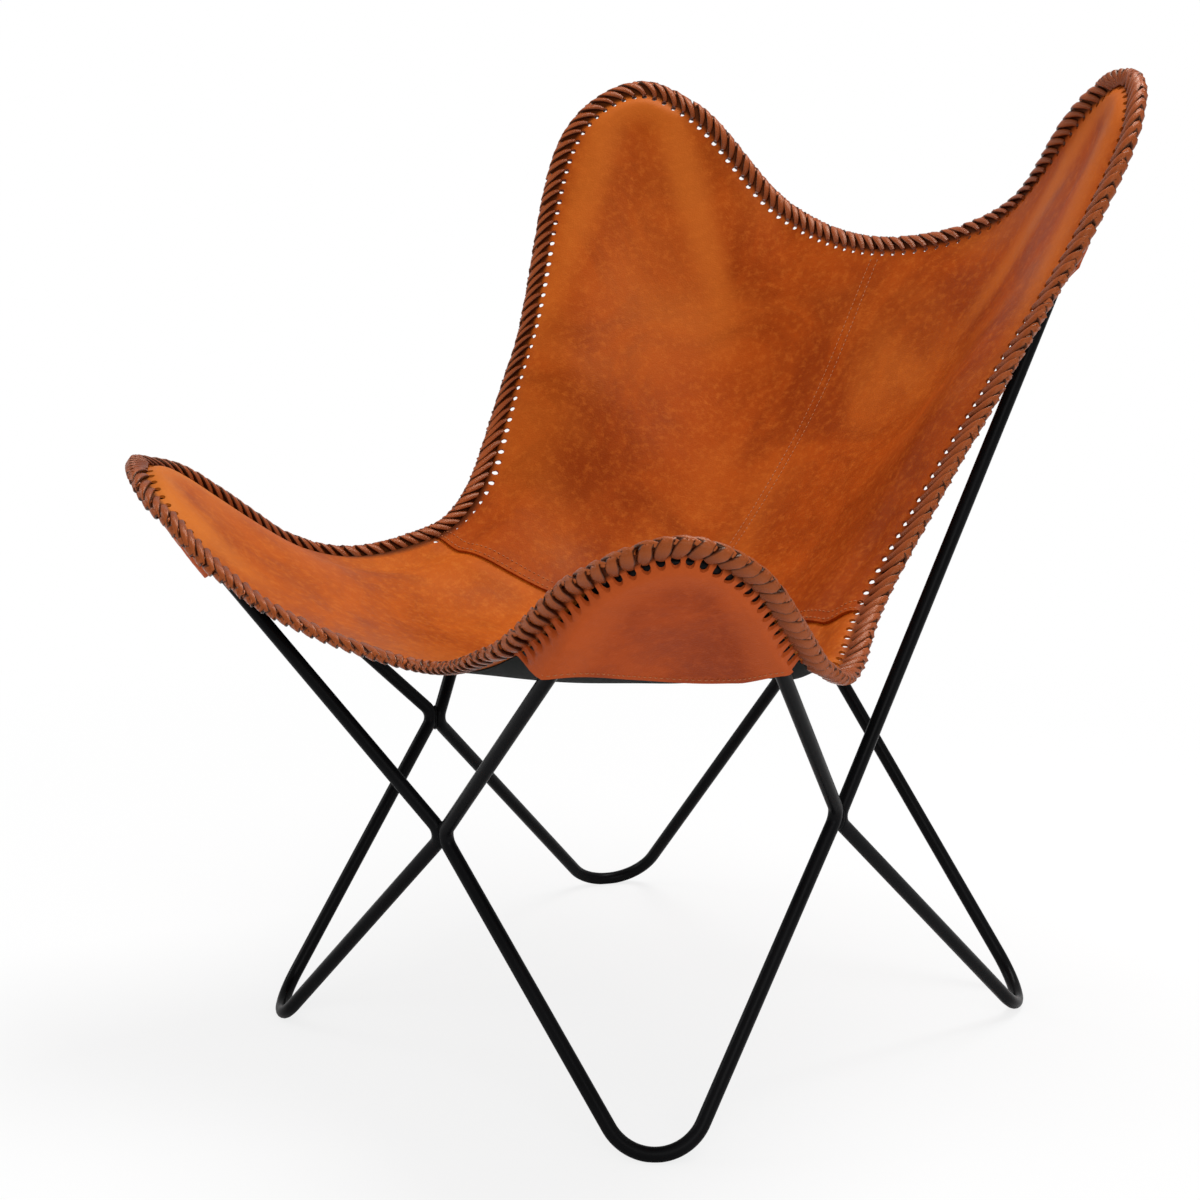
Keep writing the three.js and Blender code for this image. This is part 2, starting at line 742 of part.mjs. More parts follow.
for (const end of ['front', 'back']) {
  const neighbours = [[plans[end], 1], [plans[end], -1]];
  place(`weld_${end}`, weldSolid(crossings[end], outNormal, 'middle', neighbours), 'steel');
}
for (const [word, side] of sides) {
  const neighbours = [[plans.front, side], [plans.back, side]];
  const spot = mirrored(crossings.side, side);
  place(`weld_${word}`, weldSolid(spot, mirrored(sideNormal, side), 'flank', neighbours), 'steel');
}

place('seat_panel', sheetGeometry(panelRows(seatLevels, allPlaces, seatHeight), leather), 'leather');
place('back_panel_right', sheetGeometry(panelRows(backLevels, rightPlaces, aboveRods), leather), 'leather');
place('back_panel_left', sheetGeometry(panelRows(backLevels, leftPlaces, aboveRods), leather), 'leather');
const liningLevels = seatLevels.slice(0, -2);
place('seat_lining', sheetGeometry(panelRows(liningLevels, allPlaces, liningHeight), liningCloth), 'lining');

for (const [word, side] of sides) {
  place(`pocket_front_${word}`, sheetGeometry(pocketRows(true, side), leather), 'pocket');
  place(`pocket_back_${word}`, sheetGeometry(pocketRows(false, side), leather), 'pocket');
}

for (const run of Object.keys(edgeRuns)) {
  place(`lacing_${run}`, laceGeometry(run), 'lace');
}

// Stand the chair over the middle of its own footprint
const footprint = new THREE.Box3().setFromObject(chair).getCenter(new THREE.Vector3());
chair.position.y = -footprint.y;

export default chair;
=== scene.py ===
# %% [markdown]
# A butterfly chair is a leather sling that hangs by four pockets from a frame of bent rod.
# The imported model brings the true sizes. It is loaded first and its shapes are never changed.
# Every piece made below lies where the CAD node lies that it stands for.

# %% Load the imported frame
import json
import math

import bmesh
import bpy
import numpy as np
from mathutils import Matrix, Vector

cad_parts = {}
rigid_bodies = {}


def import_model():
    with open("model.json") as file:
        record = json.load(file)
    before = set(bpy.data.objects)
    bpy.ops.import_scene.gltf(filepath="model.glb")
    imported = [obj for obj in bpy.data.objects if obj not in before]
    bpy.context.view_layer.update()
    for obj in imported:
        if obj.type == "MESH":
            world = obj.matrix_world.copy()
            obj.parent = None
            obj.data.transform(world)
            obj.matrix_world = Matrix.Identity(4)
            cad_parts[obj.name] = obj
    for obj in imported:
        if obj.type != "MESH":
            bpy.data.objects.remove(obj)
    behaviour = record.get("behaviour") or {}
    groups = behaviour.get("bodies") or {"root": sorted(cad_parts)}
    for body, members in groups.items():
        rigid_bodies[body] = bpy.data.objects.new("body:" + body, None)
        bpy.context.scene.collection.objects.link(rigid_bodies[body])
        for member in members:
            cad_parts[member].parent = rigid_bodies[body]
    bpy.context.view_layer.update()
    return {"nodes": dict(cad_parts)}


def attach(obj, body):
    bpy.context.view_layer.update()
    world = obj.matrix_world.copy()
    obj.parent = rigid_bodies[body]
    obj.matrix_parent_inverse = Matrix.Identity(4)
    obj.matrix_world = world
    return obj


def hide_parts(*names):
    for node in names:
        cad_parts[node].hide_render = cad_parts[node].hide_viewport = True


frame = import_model()
print("nodes in the frame:", len(frame["nodes"]))

# %% [markdown]
# The frame is four closed rings of bent rod. Each one runs from its tip through a crossing, the
# floor and a second crossing, where it bears on its neighbours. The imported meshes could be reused,
# but their bends are coarse. So the bends are worked out again here, in metres, from the same
# driving sizes as the CAD part, and the finer meshes below fit it. The part was moved along Y to
# stand over the middle of its box, and the same shift is used here.

# %% Sizes of the rods
SHIFT = np.array([0, -0.00444, 0])
ROD_RADIUS = 0.0065
FIT_GAP = 0.0003
KINK_BEND = 0.014
CONTACT_SHARE = 0.7
BEARING = ROD_RADIUS * CONTACT_SHARE + FIT_GAP / 2
FLAT_DEPTH = 0.001
SETTLE_STEPS = 4
BEND_STEPS, KINK_STEPS = 40, 10

FLOOR = {"front": (0.261, -0.275, 0.044), "back": (0.2905, 0.275, 0.050)}
TIP = {"front": (0.379, -0.379, 0.609, 0.058), "back": (0.327, 0.357, 0.965, 0.038)}
CROSSING = {"front": np.array([0, -0.266, 0.2316]), "back": np.array([0, 0.2615, 0.3245])}
SIDE_CROSSING = np.array([0.254, -0.036, 0.249])
STAGGER = 0.0035
LAP_ANGLE = math.radians(39)
SIDE_NORMAL = np.array([math.sin(LAP_ANGLE), -math.cos(LAP_ANGLE), 0])
OUT = np.array([1.0, 0, 0])
UP = np.array([0, 0, 1.0])


# %% Round the corners of a ring
def unit(v):
    return v / np.linalg.norm(v)


def corner(place, before, after, radius, steps):
    """A round bend between two straights that would meet at place."""
    a, b = unit(before - place), unit(after - place)
    inward, along = unit(a + b), unit(b - a)
    half = math.acos(np.dot(a, b)) / 2
    centre = place + inward * radius / math.sin(half)
    turn = math.pi / 2 - half
    angles = np.linspace(-turn, turn, steps + 1)[:, None]
    points = centre - radius * (np.cos(angles) * inward - np.sin(angles) * along)
    crown = centre - radius * inward
    return {"points": points, "crown": crown, "centre": centre, "inward": inward, "along": along}


def seat_corner(place, before, after, radius, direction, level):
    """Moves a corner until its bend just reaches a level along a direction."""
    seated = place.copy()
    for _ in range(SETTLE_STEPS):
        bend = corner(seated, before, after, radius, 1)
        reach = radius * math.hypot(bend["inward"] @ direction, bend["along"] @ direction)
        seated = seated + direction * (level - (bend["centre"] @ direction - reach))
    return seated


def ring_plan(end):
    """The bends of the right-hand ring at one end, which bears on its neighbours."""
    sign = 1 if end == "front" else -1
    tip, tip_bend = np.array(TIP[end][:3]), TIP[end][3]
    foot, foot_bend = np.array([*FLOOR[end][:2], 0]), FLOOR[end][2]
    flank = SIDE_CROSSING + UP * sign * STAGGER
    normal = SIDE_NORMAL * sign
    flank_corner, middle_corner = flank, CROSSING[end]
    for _ in range(SETTLE_STEPS):
        foot = seat_corner(foot, middle_corner, flank_corner, foot_bend, UP, ROD_RADIUS - FLAT_DEPTH)
        middle_corner = seat_corner(CROSSING[end], tip, foot, KINK_BEND, OUT, BEARING)
        flank_corner = seat_corner(flank, foot, tip, KINK_BEND, normal, flank @ normal + BEARING)
    return {
        "tip": corner(tip, middle_corner, flank_corner, tip_bend, BEND_STEPS),
        "flank": corner(flank_corner, tip, foot, KINK_BEND, KINK_STEPS),
        "foot": corner(foot, flank_corner, middle_corner, foot_bend, BEND_STEPS),
        "middle": corner(middle_corner, foot, tip, KINK_BEND, KINK_STEPS),
    }


PLANS = {end: ring_plan(end) for end in ("front", "back")}
print("tip crowns:", *(PLANS[end]["tip"]["crown"].round(4) for end in PLANS))

# %% [markdown]
# The sling's edge is one closed curve through named places: a lobe round each tip, a bow
# between the tips in front and behind, and a long sweep down each flank. A curve object could
# hold it, but a formula can be read at any share of a stretch's length, which keeps the cells of
# a sheet even.

# %% Sizes of the sling
LEATHER = 0.0026
LINING = 0.001
SEAM_LAP = 0.015
SEAM_SHARE = 0.43
SAG_POWER = 2.9
FRONT_LOBE = {"reach": 0.014, "inner": (0.015, 0.059, 0), "outer": (0.017, 0.052, 0)}
BACK_LOBE = {"reach": 0.014, "inner": (0.015, 0.058, 0.008), "outer": (0.030, 0.064, -0.006)}
FRONT_CENTRE, FRONT_BOW = np.array([0, -0.292, 0.388]), (0.54, np.array([0, -0.011, -0.025]))
BACK_CENTRE, BACK_BOW = np.array([0, 0.361, 0.714]), (0.556, np.array([0, 0.017, -0.042]))
FLANK_LOW = np.array([0.291, -0.078, 0.398])
FLANK_FRONT = (0.65, np.array([0.010, 0, -0.033]))
FLANK_WAIST = (0.226, np.array([-0.043, 0, -0.048]))
FLANK_UPPER = (0.591, np.array([-0.034, 0, -0.051]))
LEFT_LIFTS = (0.0104, 0.026, 0.0234, 0.0065)
SEAT_LOW = np.array([0, -0.080, 0.348])
SEAM_PLACE = np.array([0, 0.049, 0.381])
BACK_MIDDLE = np.array([0, 0.233, 0.535])
TINY = 1e-9


# %% Curves that are read by share of length
def through(points, closed):
    """A smooth centripetal curve through points. Its argument counts points from 0."""
    points = np.array(points)
    count = len(points)
    spans = []
    for i in range(count if closed else count - 1):
        if closed:
            p0, p1, p2, p3 = (points[(i + k) % count] for k in (-1, 0, 1, 2))
        else:
            p1, p2 = points[i], points[i + 1]
            p0 = points[i - 1] if i > 0 else 2 * p1 - p2
            p3 = points[i + 2] if i + 2 < count else 2 * p2 - p1
        d0, d1, d2 = (math.sqrt(np.linalg.norm(q - p)) for p, q in ((p0, p1), (p1, p2), (p2, p3)))
        t1 = d1 * ((p1 - p0) / d0 - (p2 - p0) / (d0 + d1) + (p2 - p1) / d1)
        t2 = d1 * ((p2 - p1) / d1 - (p3 - p1) / (d1 + d2) + (p3 - p2) / d2)
        spans.append((p1, t1, 3 * (p2 - p1) - 2 * t1 - t2, 2 * (p1 - p2) + t1 + t2))

    def at(place):
        place = place % count if closed else min(max(place, 0), count - 1 - TINY)
        i = int(place)
        w = place - i
        c0, c1, c2, c3 = spans[i]
        return c0 + w * (c1 + w * (c2 + w * c3))

    return at


class Stretch:
    """Part of a curve, read by its share of length."""

    def __init__(self, curve, start, end, samples=360):
        self.points = np.array([curve(p) for p in np.linspace(start, end, samples + 1)])
        steps = np.linalg.norm(np.diff(self.points, axis=0), axis=1)
        self.lengths = np.concatenate([[0], np.cumsum(steps)])
        self.total = self.lengths[-1]

    def read(self, share):
        wanted = np.clip(share, 0, 1) * self.total
        return np.stack([np.interp(wanted, self.lengths, self.points[:, k]) for k in range(3)], axis=-1)


# %% The edge of the sling
def lobe(plan, size):
    crown, out, along = plan["tip"]["crown"], -plan["tip"]["inward"], plan["tip"]["along"]
    lift = np.cross(along, out)
    lift = unit(lift if lift[2] > 0 else -lift)

    def at(back, across, rise):
        return crown - out * back + along * across + lift * rise

    (back, half, rise), (far_back, far_half, far_rise) = size["inner"], size["outer"]
    return at(back, -half, rise), at(-size["reach"], 0, 0), at(far_back, far_half, far_rise)


def mirrored(points, side):
    return np.asarray(points) * (side, 1, 1)


def half_edge(side):
    """Stations of one half of the edge, on the right: rim, flank and top."""
    inner, apex, outer = lobe(PLANS["front"], FRONT_LOBE)
    back_inner, back_apex, back_outer = lobe(PLANS["back"], BACK_LOBE)

    def beside(a, b, place):
        return a + (b - a) * place[0] + place[1]

    rim = [FRONT_CENTRE, beside(FRONT_CENTRE, inner, FRONT_BOW), inner, apex]
    flank = [outer, beside(outer, FLANK_LOW, FLANK_FRONT), FLANK_LOW]
    flank += [beside(FLANK_LOW, back_outer, place) for place in (FLANK_WAIST, FLANK_UPPER)]
    if side < 0:
        for i, lift in enumerate(LEFT_LIFTS):
            flank[i] = flank[i] + UP * lift
    top = [back_apex, back_inner, beside(BACK_CENTRE, back_inner, BACK_BOW), BACK_CENTRE]
    return [*rim, *flank, back_outer, *top]


right_half, left_half = half_edge(1), half_edge(-1)
APEX, BACK_APEX, MIDDLE = 3, 10, len(right_half) - 1
edge_loop = through([*right_half, *(mirrored(p, -1) for p in left_half[1:-1][::-1])], True)
front_edge = {1: Stretch(edge_loop, 0, APEX), -1: Stretch(edge_loop, 0, -APEX)}
flank_edge = {1: Stretch(edge_loop, APEX, BACK_APEX), -1: Stretch(edge_loop, -APEX, -BACK_APEX)}
top_edge = {1: Stretch(edge_loop, MIDDLE, BACK_APEX), -1: Stretch(edge_loop, MIDDLE, 2 * MIDDLE - BACK_APEX)}
down_the_middle = [FRONT_CENTRE, SEAT_LOW, SEAM_PLACE, BACK_MIDDLE, BACK_CENTRE]
middle_line = Stretch(through(down_the_middle, False), 0, len(down_the_middle) - 1)
whole_edge = (front_edge, flank_edge, top_edge)
print("edge lengths, m:", *(round(part[side].total, 4) for part in whole_edge for side in (1, -1)))

# %% [markdown]
# Between its edges the leather hangs as one surface. A cloth simulation could find the hang, but
# it would not keep the edges where the real chair has them. Here a patch blended from the four
# edges gives the first shape, and the sag of the middle line and a bowl beside each flank are
# added to it. A place on the sling is named by two shares: across runs from -1 to 1, and along
# runs from the front edge at 0 to the top at 1.

# %% The hanging surface
NUDGE = 0.02
BOWL_DEPTH = {1: 0.034, -1: 0.032}
BOWL_INSIDE = {1: (0.15, 0.80), -1: (0.0, 0.70)}
BOWL_EDGE = (0.84, 1.0)
BOWL_START, BOWL_END = (0.11, 0.36), (0.47, 0.64)
EDGE_DIPS = {1: (0.0, 0.010), -1: (0.0068, 0.008)}
DIP_START, DIP_END = (0.34, 0.43), (0.46, 0.60)


def by_side(stretches, across):
    across = np.asarray(across)
    right, left = stretches[1].read(np.abs(across)), stretches[-1].read(np.abs(across))
    return np.where(across[..., None] < 0, left, right)


def spanned(across, along):
    across, along = np.broadcast_arrays(np.asarray(across, float), np.asarray(along, float))
    x, y = (1 + across[..., None]) / 2, along[..., None]
    lengthwise = by_side(front_edge, across) * (1 - y) + by_side(top_edge, across) * y
    crosswise = flank_edge[-1].read(along) * (1 - x) + flank_edge[1].read(along) * x
    front = front_edge[-1].read(1) * (1 - x) + front_edge[1].read(1) * x
    top = top_edge[-1].read(1) * (1 - x) + top_edge[1].read(1) * x
    return lengthwise + crosswise - front * (1 - y) - top * y


def smooth_step(value, start, end):
    share = np.clip((value - start) / (end - start), 0, 1)
    return share * share * (3 - 2 * share)


def between(value, rise, fall):
    """1 after the rise and before the fall, and 0 outside both."""
    return smooth_step(value, *rise) * (1 - smooth_step(value, *fall))


def hollow(across, along):
    """How far the leather sinks into a bowl beside the flanks, and how far the flanks sink with it."""
    width = np.abs(across)
    bowl_span = between(along, BOWL_START, BOWL_END)
    dip_span = between(along, DIP_START, DIP_END)
    at_edge = smooth_step(width, *BOWL_EDGE)
    depths = []
    for side in (-1, 1):
        bowl = BOWL_DEPTH[side] * smooth_step(width, *BOWL_INSIDE[side]) * bowl_span
        dip = EDGE_DIPS[side][0] * bowl_span + EDGE_DIPS[side][1] * dip_span
        depths.append(bowl * (1 - at_edge) + dip * at_edge)
    return np.where(across < 0, *depths)


def sling_point(across, along):
    sag = (1 - np.abs(across) ** SAG_POWER)[..., None]
    hung = spanned(across, along) + sag * (middle_line.read(along) - spanned(0 * along, along))
    return hung - hollow(across, along)[..., None] * UP


def inwards(across, along):
    return across * (1 - 2 * NUDGE), 0.5 + (along - 0.5) * (1 - 2 * NUDGE)


def sling_normal(across, along):
    a, b = inwards(across, along)
    du = sling_point(a + NUDGE, b) - sling_point(a - NUDGE, b)
    dv = sling_point(a, b + NUDGE / 2) - sling_point(a, b - NUDGE / 2)
    normal = np.cross(du, dv)
    return normal / np.linalg.norm(normal, axis=-1, keepdims=True)


# %% [markdown]
# A rod under stretched leather lifts it in a long ridge that falls away on both sides. A
# Shrinkwrap modifier could push the sheet off the rods, but it knows nothing of the layers that
# lie between. So each place of each layer is lifted by just what the nearest rod asks of it.

# %% How the leather rides over the rods
TENT_SPARE = 0.0005
TENT_WIDTH = 0.085
TENT_ROUND = 0.007
TENT_SHARP = 1.5
PLATEAU = (0.014, 0.024)
EDGE_PLATEAU = (0.020, 0.070)
HUG = ROD_RADIUS + LEATHER / 2 + FIT_GAP
CLEAR = HUG + TENT_SPARE
LINING_ROOM = LINING + FIT_GAP
LEG_SAMPLES = 120
LAYER_DROP = {"front": LEATHER + LINING + 2 * FIT_GAP, "back": LEATHER + FIT_GAP}


def rod_points(end, side):
    plan = PLANS[end]
    tip = plan["tip"]["points"]
    legs = [(tip[0], plan["middle"]["points"][-1]), (tip[-1], plan["flank"]["points"][0])]
    shares = np.linspace(0, 1, LEG_SAMPLES)[1:-1, None]
    return mirrored(np.concatenate([tip, *(a + (b - a) * shares for a, b in legs)]), side)


RODS = {(end, side): rod_points(end, side) for end in PLANS for side in (1, -1)}


def roof(lateral):
    """A drawn sheet falls away from a rod in two straight slopes with a round ridge."""
    off = np.hypot(lateral, TENT_ROUND) - TENT_ROUND
    return (1 - np.clip(off / TENT_WIDTH, 0, 1)) ** TENT_SHARP


def plateau(start, end):
    return lambda lateral: 1 - smooth_step(lateral, start, end)


def near_rods(points, normals, across, level):
    """For the rods of each corner: the places over them, their height there and how far beside."""
    for (end, side), rods in RODS.items():
        here = ((level < SEAM_SHARE) == (end == "front")) & ((across >= 0) == (side > 0))
        if here.any():
            offset = rods[None] - points[here][:, None]
            height = np.einsum("ijk,ik->ij", offset, normals[here])
            yield end, here, height, np.sqrt(np.maximum((offset**2).sum(-1) - height**2, 0))


def stand_off(points, normals, across, level, sense, falloff):
    """How far a layer must lie from the plain surface to clear the rods under or over it."""
    most = np.zeros(len(points))
    for end, here, height, lateral in near_rods(points, normals, across, level):
        clear = CLEAR + LINING_ROOM * (end == "front") * (sense > 0)
        most[here] = np.maximum(((sense * height + clear) * falloff(lateral)).max(1), 0)
    return most


def hugging(points, normals, across, level, sense):
    """The least height at which a leather goes round the rods without touching them."""
    least = np.full(len(points), -np.inf)
    for _, here, height, lateral in near_rods(points, normals, across, level):
        round_it = sense * height + np.sqrt(np.maximum(HUG**2 - lateral**2, 0))
        least[here] = np.where(lateral < HUG, round_it, -np.inf).max(1)
    return least


def above_rods(points, normals, across, level, falloff=roof):
    return stand_off(points, normals, across, level, 1, falloff)


def below_rods(points, normals, across, level):
    least = np.where(level < SEAM_SHARE, LAYER_DROP["front"], LAYER_DROP["back"])
    return np.maximum(stand_off(points, normals, across, level, -1, plateau(*PLATEAU)), least)


# %% [markdown]
# The seam between seat and back bows forward towards the flanks. The seat leather dives under
# the two back panels there, where the layers are sewn together. One sheet with a drawn line could
# stand for the seam, but a real lap throws its own thin shadow.

# %% Rows and places of the sheets
ACROSS_CELLS = 72
SEAT_CELLS = 72
LAP_CELLS = 3
BACK_CELLS = 104
LAP_SHARE = SEAM_LAP / middle_line.total
LAP_START = SEAM_SHARE - LAP_SHARE
DIVE_START = LAP_START - LAP_SHARE
SEAM_RISE, SEAM_REACH = {1: 0.018, -1: 0.034}, 0.2

flank_levels = np.concatenate([
    np.linspace(0, DIVE_START, SEAT_CELLS + 1),
    np.linspace(DIVE_START, LAP_START, LAP_CELLS + 1)[1:],
    np.linspace(LAP_START, SEAM_SHARE, LAP_CELLS + 1)[1:],
    np.linspace(SEAM_SHARE, 1, BACK_CELLS + 1)[1:],
])
seat_levels = flank_levels[flank_levels <= SEAM_SHARE]
back_levels = flank_levels[flank_levels >= LAP_START]
all_places = np.linspace(-1, 1, 2 * ACROSS_CELLS + 1)
SEAM_DIP = 0.0009
SEAM_TURN = (0.0014, 0.0034)
SEAM_STEPS = np.array([FIT_GAP / 2, *SEAM_TURN]) / front_edge[1].total
right_places = np.concatenate([SEAM_STEPS, all_places[ACROSS_CELLS + 1:]])


def bowed(across, level):
    apart = np.minimum(np.abs(level - SEAM_SHARE) / SEAM_REACH, 1)
    rise = np.where(across > 0, SEAM_RISE[1], SEAM_RISE[-1])
    return level - rise * across**2 * (1 + np.cos(np.pi * apart)) / 2


def seat_height(points, normals, across, level):
    dive = np.clip((level - DIVE_START) / LAP_SHARE, 0, 1)
    return above_rods(points, normals, across, np.minimum(level, DIVE_START)) - dive * (LEATHER + FIT_GAP)


def back_height(points, normals, across, level):
    """The two halves of the back turn down a little where they meet."""
    turned = 1 - smooth_step(np.abs(across), 0, SEAM_STEPS[-1])
    return above_rods(points, normals, across, level) - SEAM_DIP * turned


def lining_height(points, normals, across, level):
    return seat_height(points, normals, across, level) - LEATHER / 2 - FIT_GAP - LINING / 2


# %% [markdown]
# Under a tip the sling and its pocket are laced together, so both leathers fold over the rod
# and meet in the middle of the edge. This is what gives the wings their sharp fold along the
# rod. Everything at the edge is read from one table of frames that runs round the sling.

# %% Frames along the edge
POCKET_ACROSS = {("front", 1): 0.545, ("front", -1): 0.43, ("back", 1): 0.5, ("back", -1): 0.5}
POCKET_ALONG = {"front": DIVE_START / 2, "back": (1 - SEAM_SHARE) * 0.39}
POCKET_FADE = (1.0, 1.12)
FOLD_WIDTH = 0.014
HALF_PAIR = LEATHER / 2 + FIT_GAP
LONE_HALF = 0.0004
CURL_LEFT, CURL_RIGHT = math.radians(64), math.radians(38)
TURN_LEFT = ((0.02, 0.10), (0.46, 0.63))
TURN_RIGHT = ((0.45, 0.75), (0.93, 1))
MIDWAY, LEAN_LEFT, LEAN_RIGHT = 0.5, 0.3, 0.2


def pocket_weight(across, level):
    """1 where a pocket is laced to the sling, 0 where the sling's edge is single."""
    is_front = level < SEAM_SHARE
    width = [np.where(across > 0, POCKET_ACROSS[end, 1], POCKET_ACROSS[end, -1]) for end in ("front", "back")]
    width = np.where(is_front, *width)
    along = np.where(is_front, level / POCKET_ALONG["front"], (1 - level) / POCKET_ALONG["back"])
    on_rim = (level == 0) | (level == 1)
    return 1 - smooth_step(np.where(on_rim, (1 - np.abs(across)) / width, along), *POCKET_FADE)


def turned_up(across, level):
    """Where the lacing turns up: along the left flank, and along the right wing."""
    return (across == -1) * between(level, *TURN_LEFT), (level == 1) * between(across, *TURN_RIGHT)


def edge_frames(across, level):
    along = bowed(across, level)
    points, normals = sling_point(across, along), sling_normal(across, along)
    tangents = np.roll(points, -1, axis=0) - np.roll(points, 1, axis=0)
    tangents /= np.linalg.norm(tangents, axis=1, keepdims=True)
    outward = points - sling_point(*inwards(across, along))
    for away in (tangents, normals):
        outward -= (outward * away).sum(1)[:, None] * away
    outward /= np.linalg.norm(outward, axis=1, keepdims=True)
    held = np.where(level < SEAM_SHARE, np.minimum(level, DIVE_START), level)
    above = above_rods(points, normals, across, held, plateau(*EDGE_PLATEAU))
    below, weight = below_rods(points, normals, across, level), pocket_weight(across, level)
    left, right = turned_up(across, level)
    middle = above - (above + below) * (MIDWAY - LEAN_LEFT * left - LEAN_RIGHT * right) * weight
    half = LONE_HALF + (HALF_PAIR - LONE_HALF) * weight
    top = np.maximum(middle + half, hugging(points, normals, across, level, 1))
    bottom = np.minimum(middle - half, -hugging(points, normals, across, level, -1))
    bottom = np.where(weight > 0, bottom, top - 2 * half)
    curl = (CURL_LEFT * left + CURL_RIGHT * right)[:, None]
    steps = np.linalg.norm(np.roll(points, -1, axis=0) - points, axis=1)
    return {
        "line": points + SHIFT,
        "point": points + SHIFT + normals * ((top + bottom) / 2)[:, None],
        "normal": normals * np.cos(curl) - outward * np.sin(curl),
        "tangent": tangents,
        "outward": outward * np.cos(curl) + normals * np.sin(curl),
        "top": top[:, None],
        "bottom": bottom[:, None],
        "half": (top - bottom)[:, None] / 2,
        "paired": weight[:, None],
        "length": np.concatenate([[0], np.cumsum(steps)]),
    }


flank_zeros, rim_zeros = 0 * flank_levels[:-1], 0 * all_places[:-1]
round_across = np.concatenate([all_places[:-1], 1 + flank_zeros, -all_places[:-1], flank_zeros - 1])
round_level = np.concatenate([rim_zeros, flank_levels[:-1], 1 + rim_zeros, flank_levels[::-1][:-1]])
EDGE = edge_frames(round_across, round_level)
ROUND = len(round_across)
station_at = {(round(a, 6), round(b, 6)): i for i, (a, b) in enumerate(zip(round_across, round_level))}
print("edge length", round(EDGE["length"][-1], 3), "m, places round it:", ROUND)


CHUNK = 2000


def nearest(points, targets):
    """Which target is nearest to each point, and how far it is. Chunks keep the memory small."""
    places, gaps = np.zeros(len(points), int), np.zeros(len(points))
    for start in range(0, len(points), CHUNK):
        part = slice(start, start + CHUNK)
        apart = ((points[part, None] - targets[None]) ** 2).sum(-1)
        places[part] = apart.argmin(1)
        gaps[part] = np.sqrt(apart.min(1))
    return places, gaps


def folded(points, normals, across, level, height, sense):
    """Brings a layer to the edge within a fold's width of it, but not into a rod."""
    places, gaps = nearest(points + SHIFT, EDGE["line"])
    pinch = 1 - smooth_step(gaps, 0, FOLD_WIDTH)
    if sense < 0:
        pinch = pinch * EDGE["paired"][places, 0]
    target = EDGE["top" if sense > 0 else "bottom"][places, 0]
    pinched = sense * (height + (target - height) * pinch)
    return sense * np.maximum(pinched, hugging(points, normals, across, level, sense))


# %% [markdown]
# A sheet starts as a flat grid. Each corner of the grid is moved to its place on the sling,
# and the laced edges are extruded outwards to run under the lacing, where the layers close up.
# Two offset surfaces could be bridged into a wall, but a Solidify modifier does the same in one
# step and keeps the leather equally thick everywhere.

# %% Make a sheet
RIM_STEPS = {0.004: 0.97, 0.008: 0.80, 0.0115: 0.45}


def as_mesh(bm, name):
    mesh = bpy.data.meshes.new(name)
    bm.to_mesh(mesh)
    bm.free()
    return mesh


def in_scene(name, data):
    obj = bpy.data.objects.new(name, data)
    bpy.context.scene.collection.objects.link(obj)
    return obj


def finish(bm, name):
    mesh = as_mesh(bm, name)
    mesh.polygons.foreach_set("use_smooth", [True] * len(mesh.polygons))
    return in_scene(name, mesh)


def stands_for(piece, node):
    """Puts a piece on the chair's one body, in the place of a CAD node."""
    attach(piece, "root")
    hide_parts(node)


def on_leather(across, level, height):
    """Places and normals of a layer of the sling."""
    along = bowed(across, level)
    points, normals = sling_point(across, along), sling_normal(across, along)
    rise = folded(points, normals, across, level, height(points, normals, across, level), 1)
    return points + normals * rise[:, None] + SHIFT, normals


def add_rim(bm, stations, taper=np.ones(ROUND)):
    """Carries the laced edges outwards in steps, each with the share of its height that is left."""
    edges = [e for e in bm.edges if e.is_boundary and all(stations.get(v, -1) >= 0 for v in e.verts)]
    starts = {v: v.co.copy() for e in edges for v in e.verts}
    for out, share in RIM_STEPS.items():
        made = bmesh.ops.extrude_edge_only(bm, edges=edges)["geom"]
        edges = [g for g in made if isinstance(g, bmesh.types.BMEdge)]
        new = set(g for g in made if isinstance(g, bmesh.types.BMVert))
        for vertex in new:
            base = next(e.other_vert(vertex) for e in vertex.link_edges if e.other_vert(vertex) not in new)
            station, start = stations[base], starts[base]
            stations[vertex], starts[vertex] = station, start
            normal = Vector(EDGE["normal"][station])
            apart = (start - Vector(EDGE["point"][station])).dot(normal)
            kept = max(abs(apart) * share, min(abs(apart), HALF_PAIR))
            moved = Vector(EDGE["outward"][station] * out) + normal * math.copysign(kept - abs(apart), apart)
            vertex.co = start + moved * taper[station]


def sheet(levels, places, height, rim=True):
    bm = bmesh.new()
    columns, rows = len(places) - 1, len(levels) - 1
    bmesh.ops.create_grid(bm, x_segments=columns, y_segments=rows, size=0.5)
    cells = [(round((v.co.x + 0.5) * columns), round((v.co.y + 0.5) * rows)) for v in bm.verts]
    across = np.array([places[i] for i, _ in cells])
    level = np.array([levels[j] for _, j in cells])
    stations = {}
    for vertex, place, a, b in zip(bm.verts, on_leather(across, level, height)[0], across, level):
        vertex.co = Vector(place)
        stations[vertex] = station_at.get((round(a, 6), round(b, 6)), -1)
    if rim:
        add_rim(bm, stations)
    return bm


# %% [markdown]
# A punch is a small cylinder. One is placed at each hole along the edge, square to the leather,
# and a Boolean takes them all out of the finished wall at once, so that the holes of a pocket
# and of the sling over it line up. The pull of the lace has drawn the pockets' holes into slots.

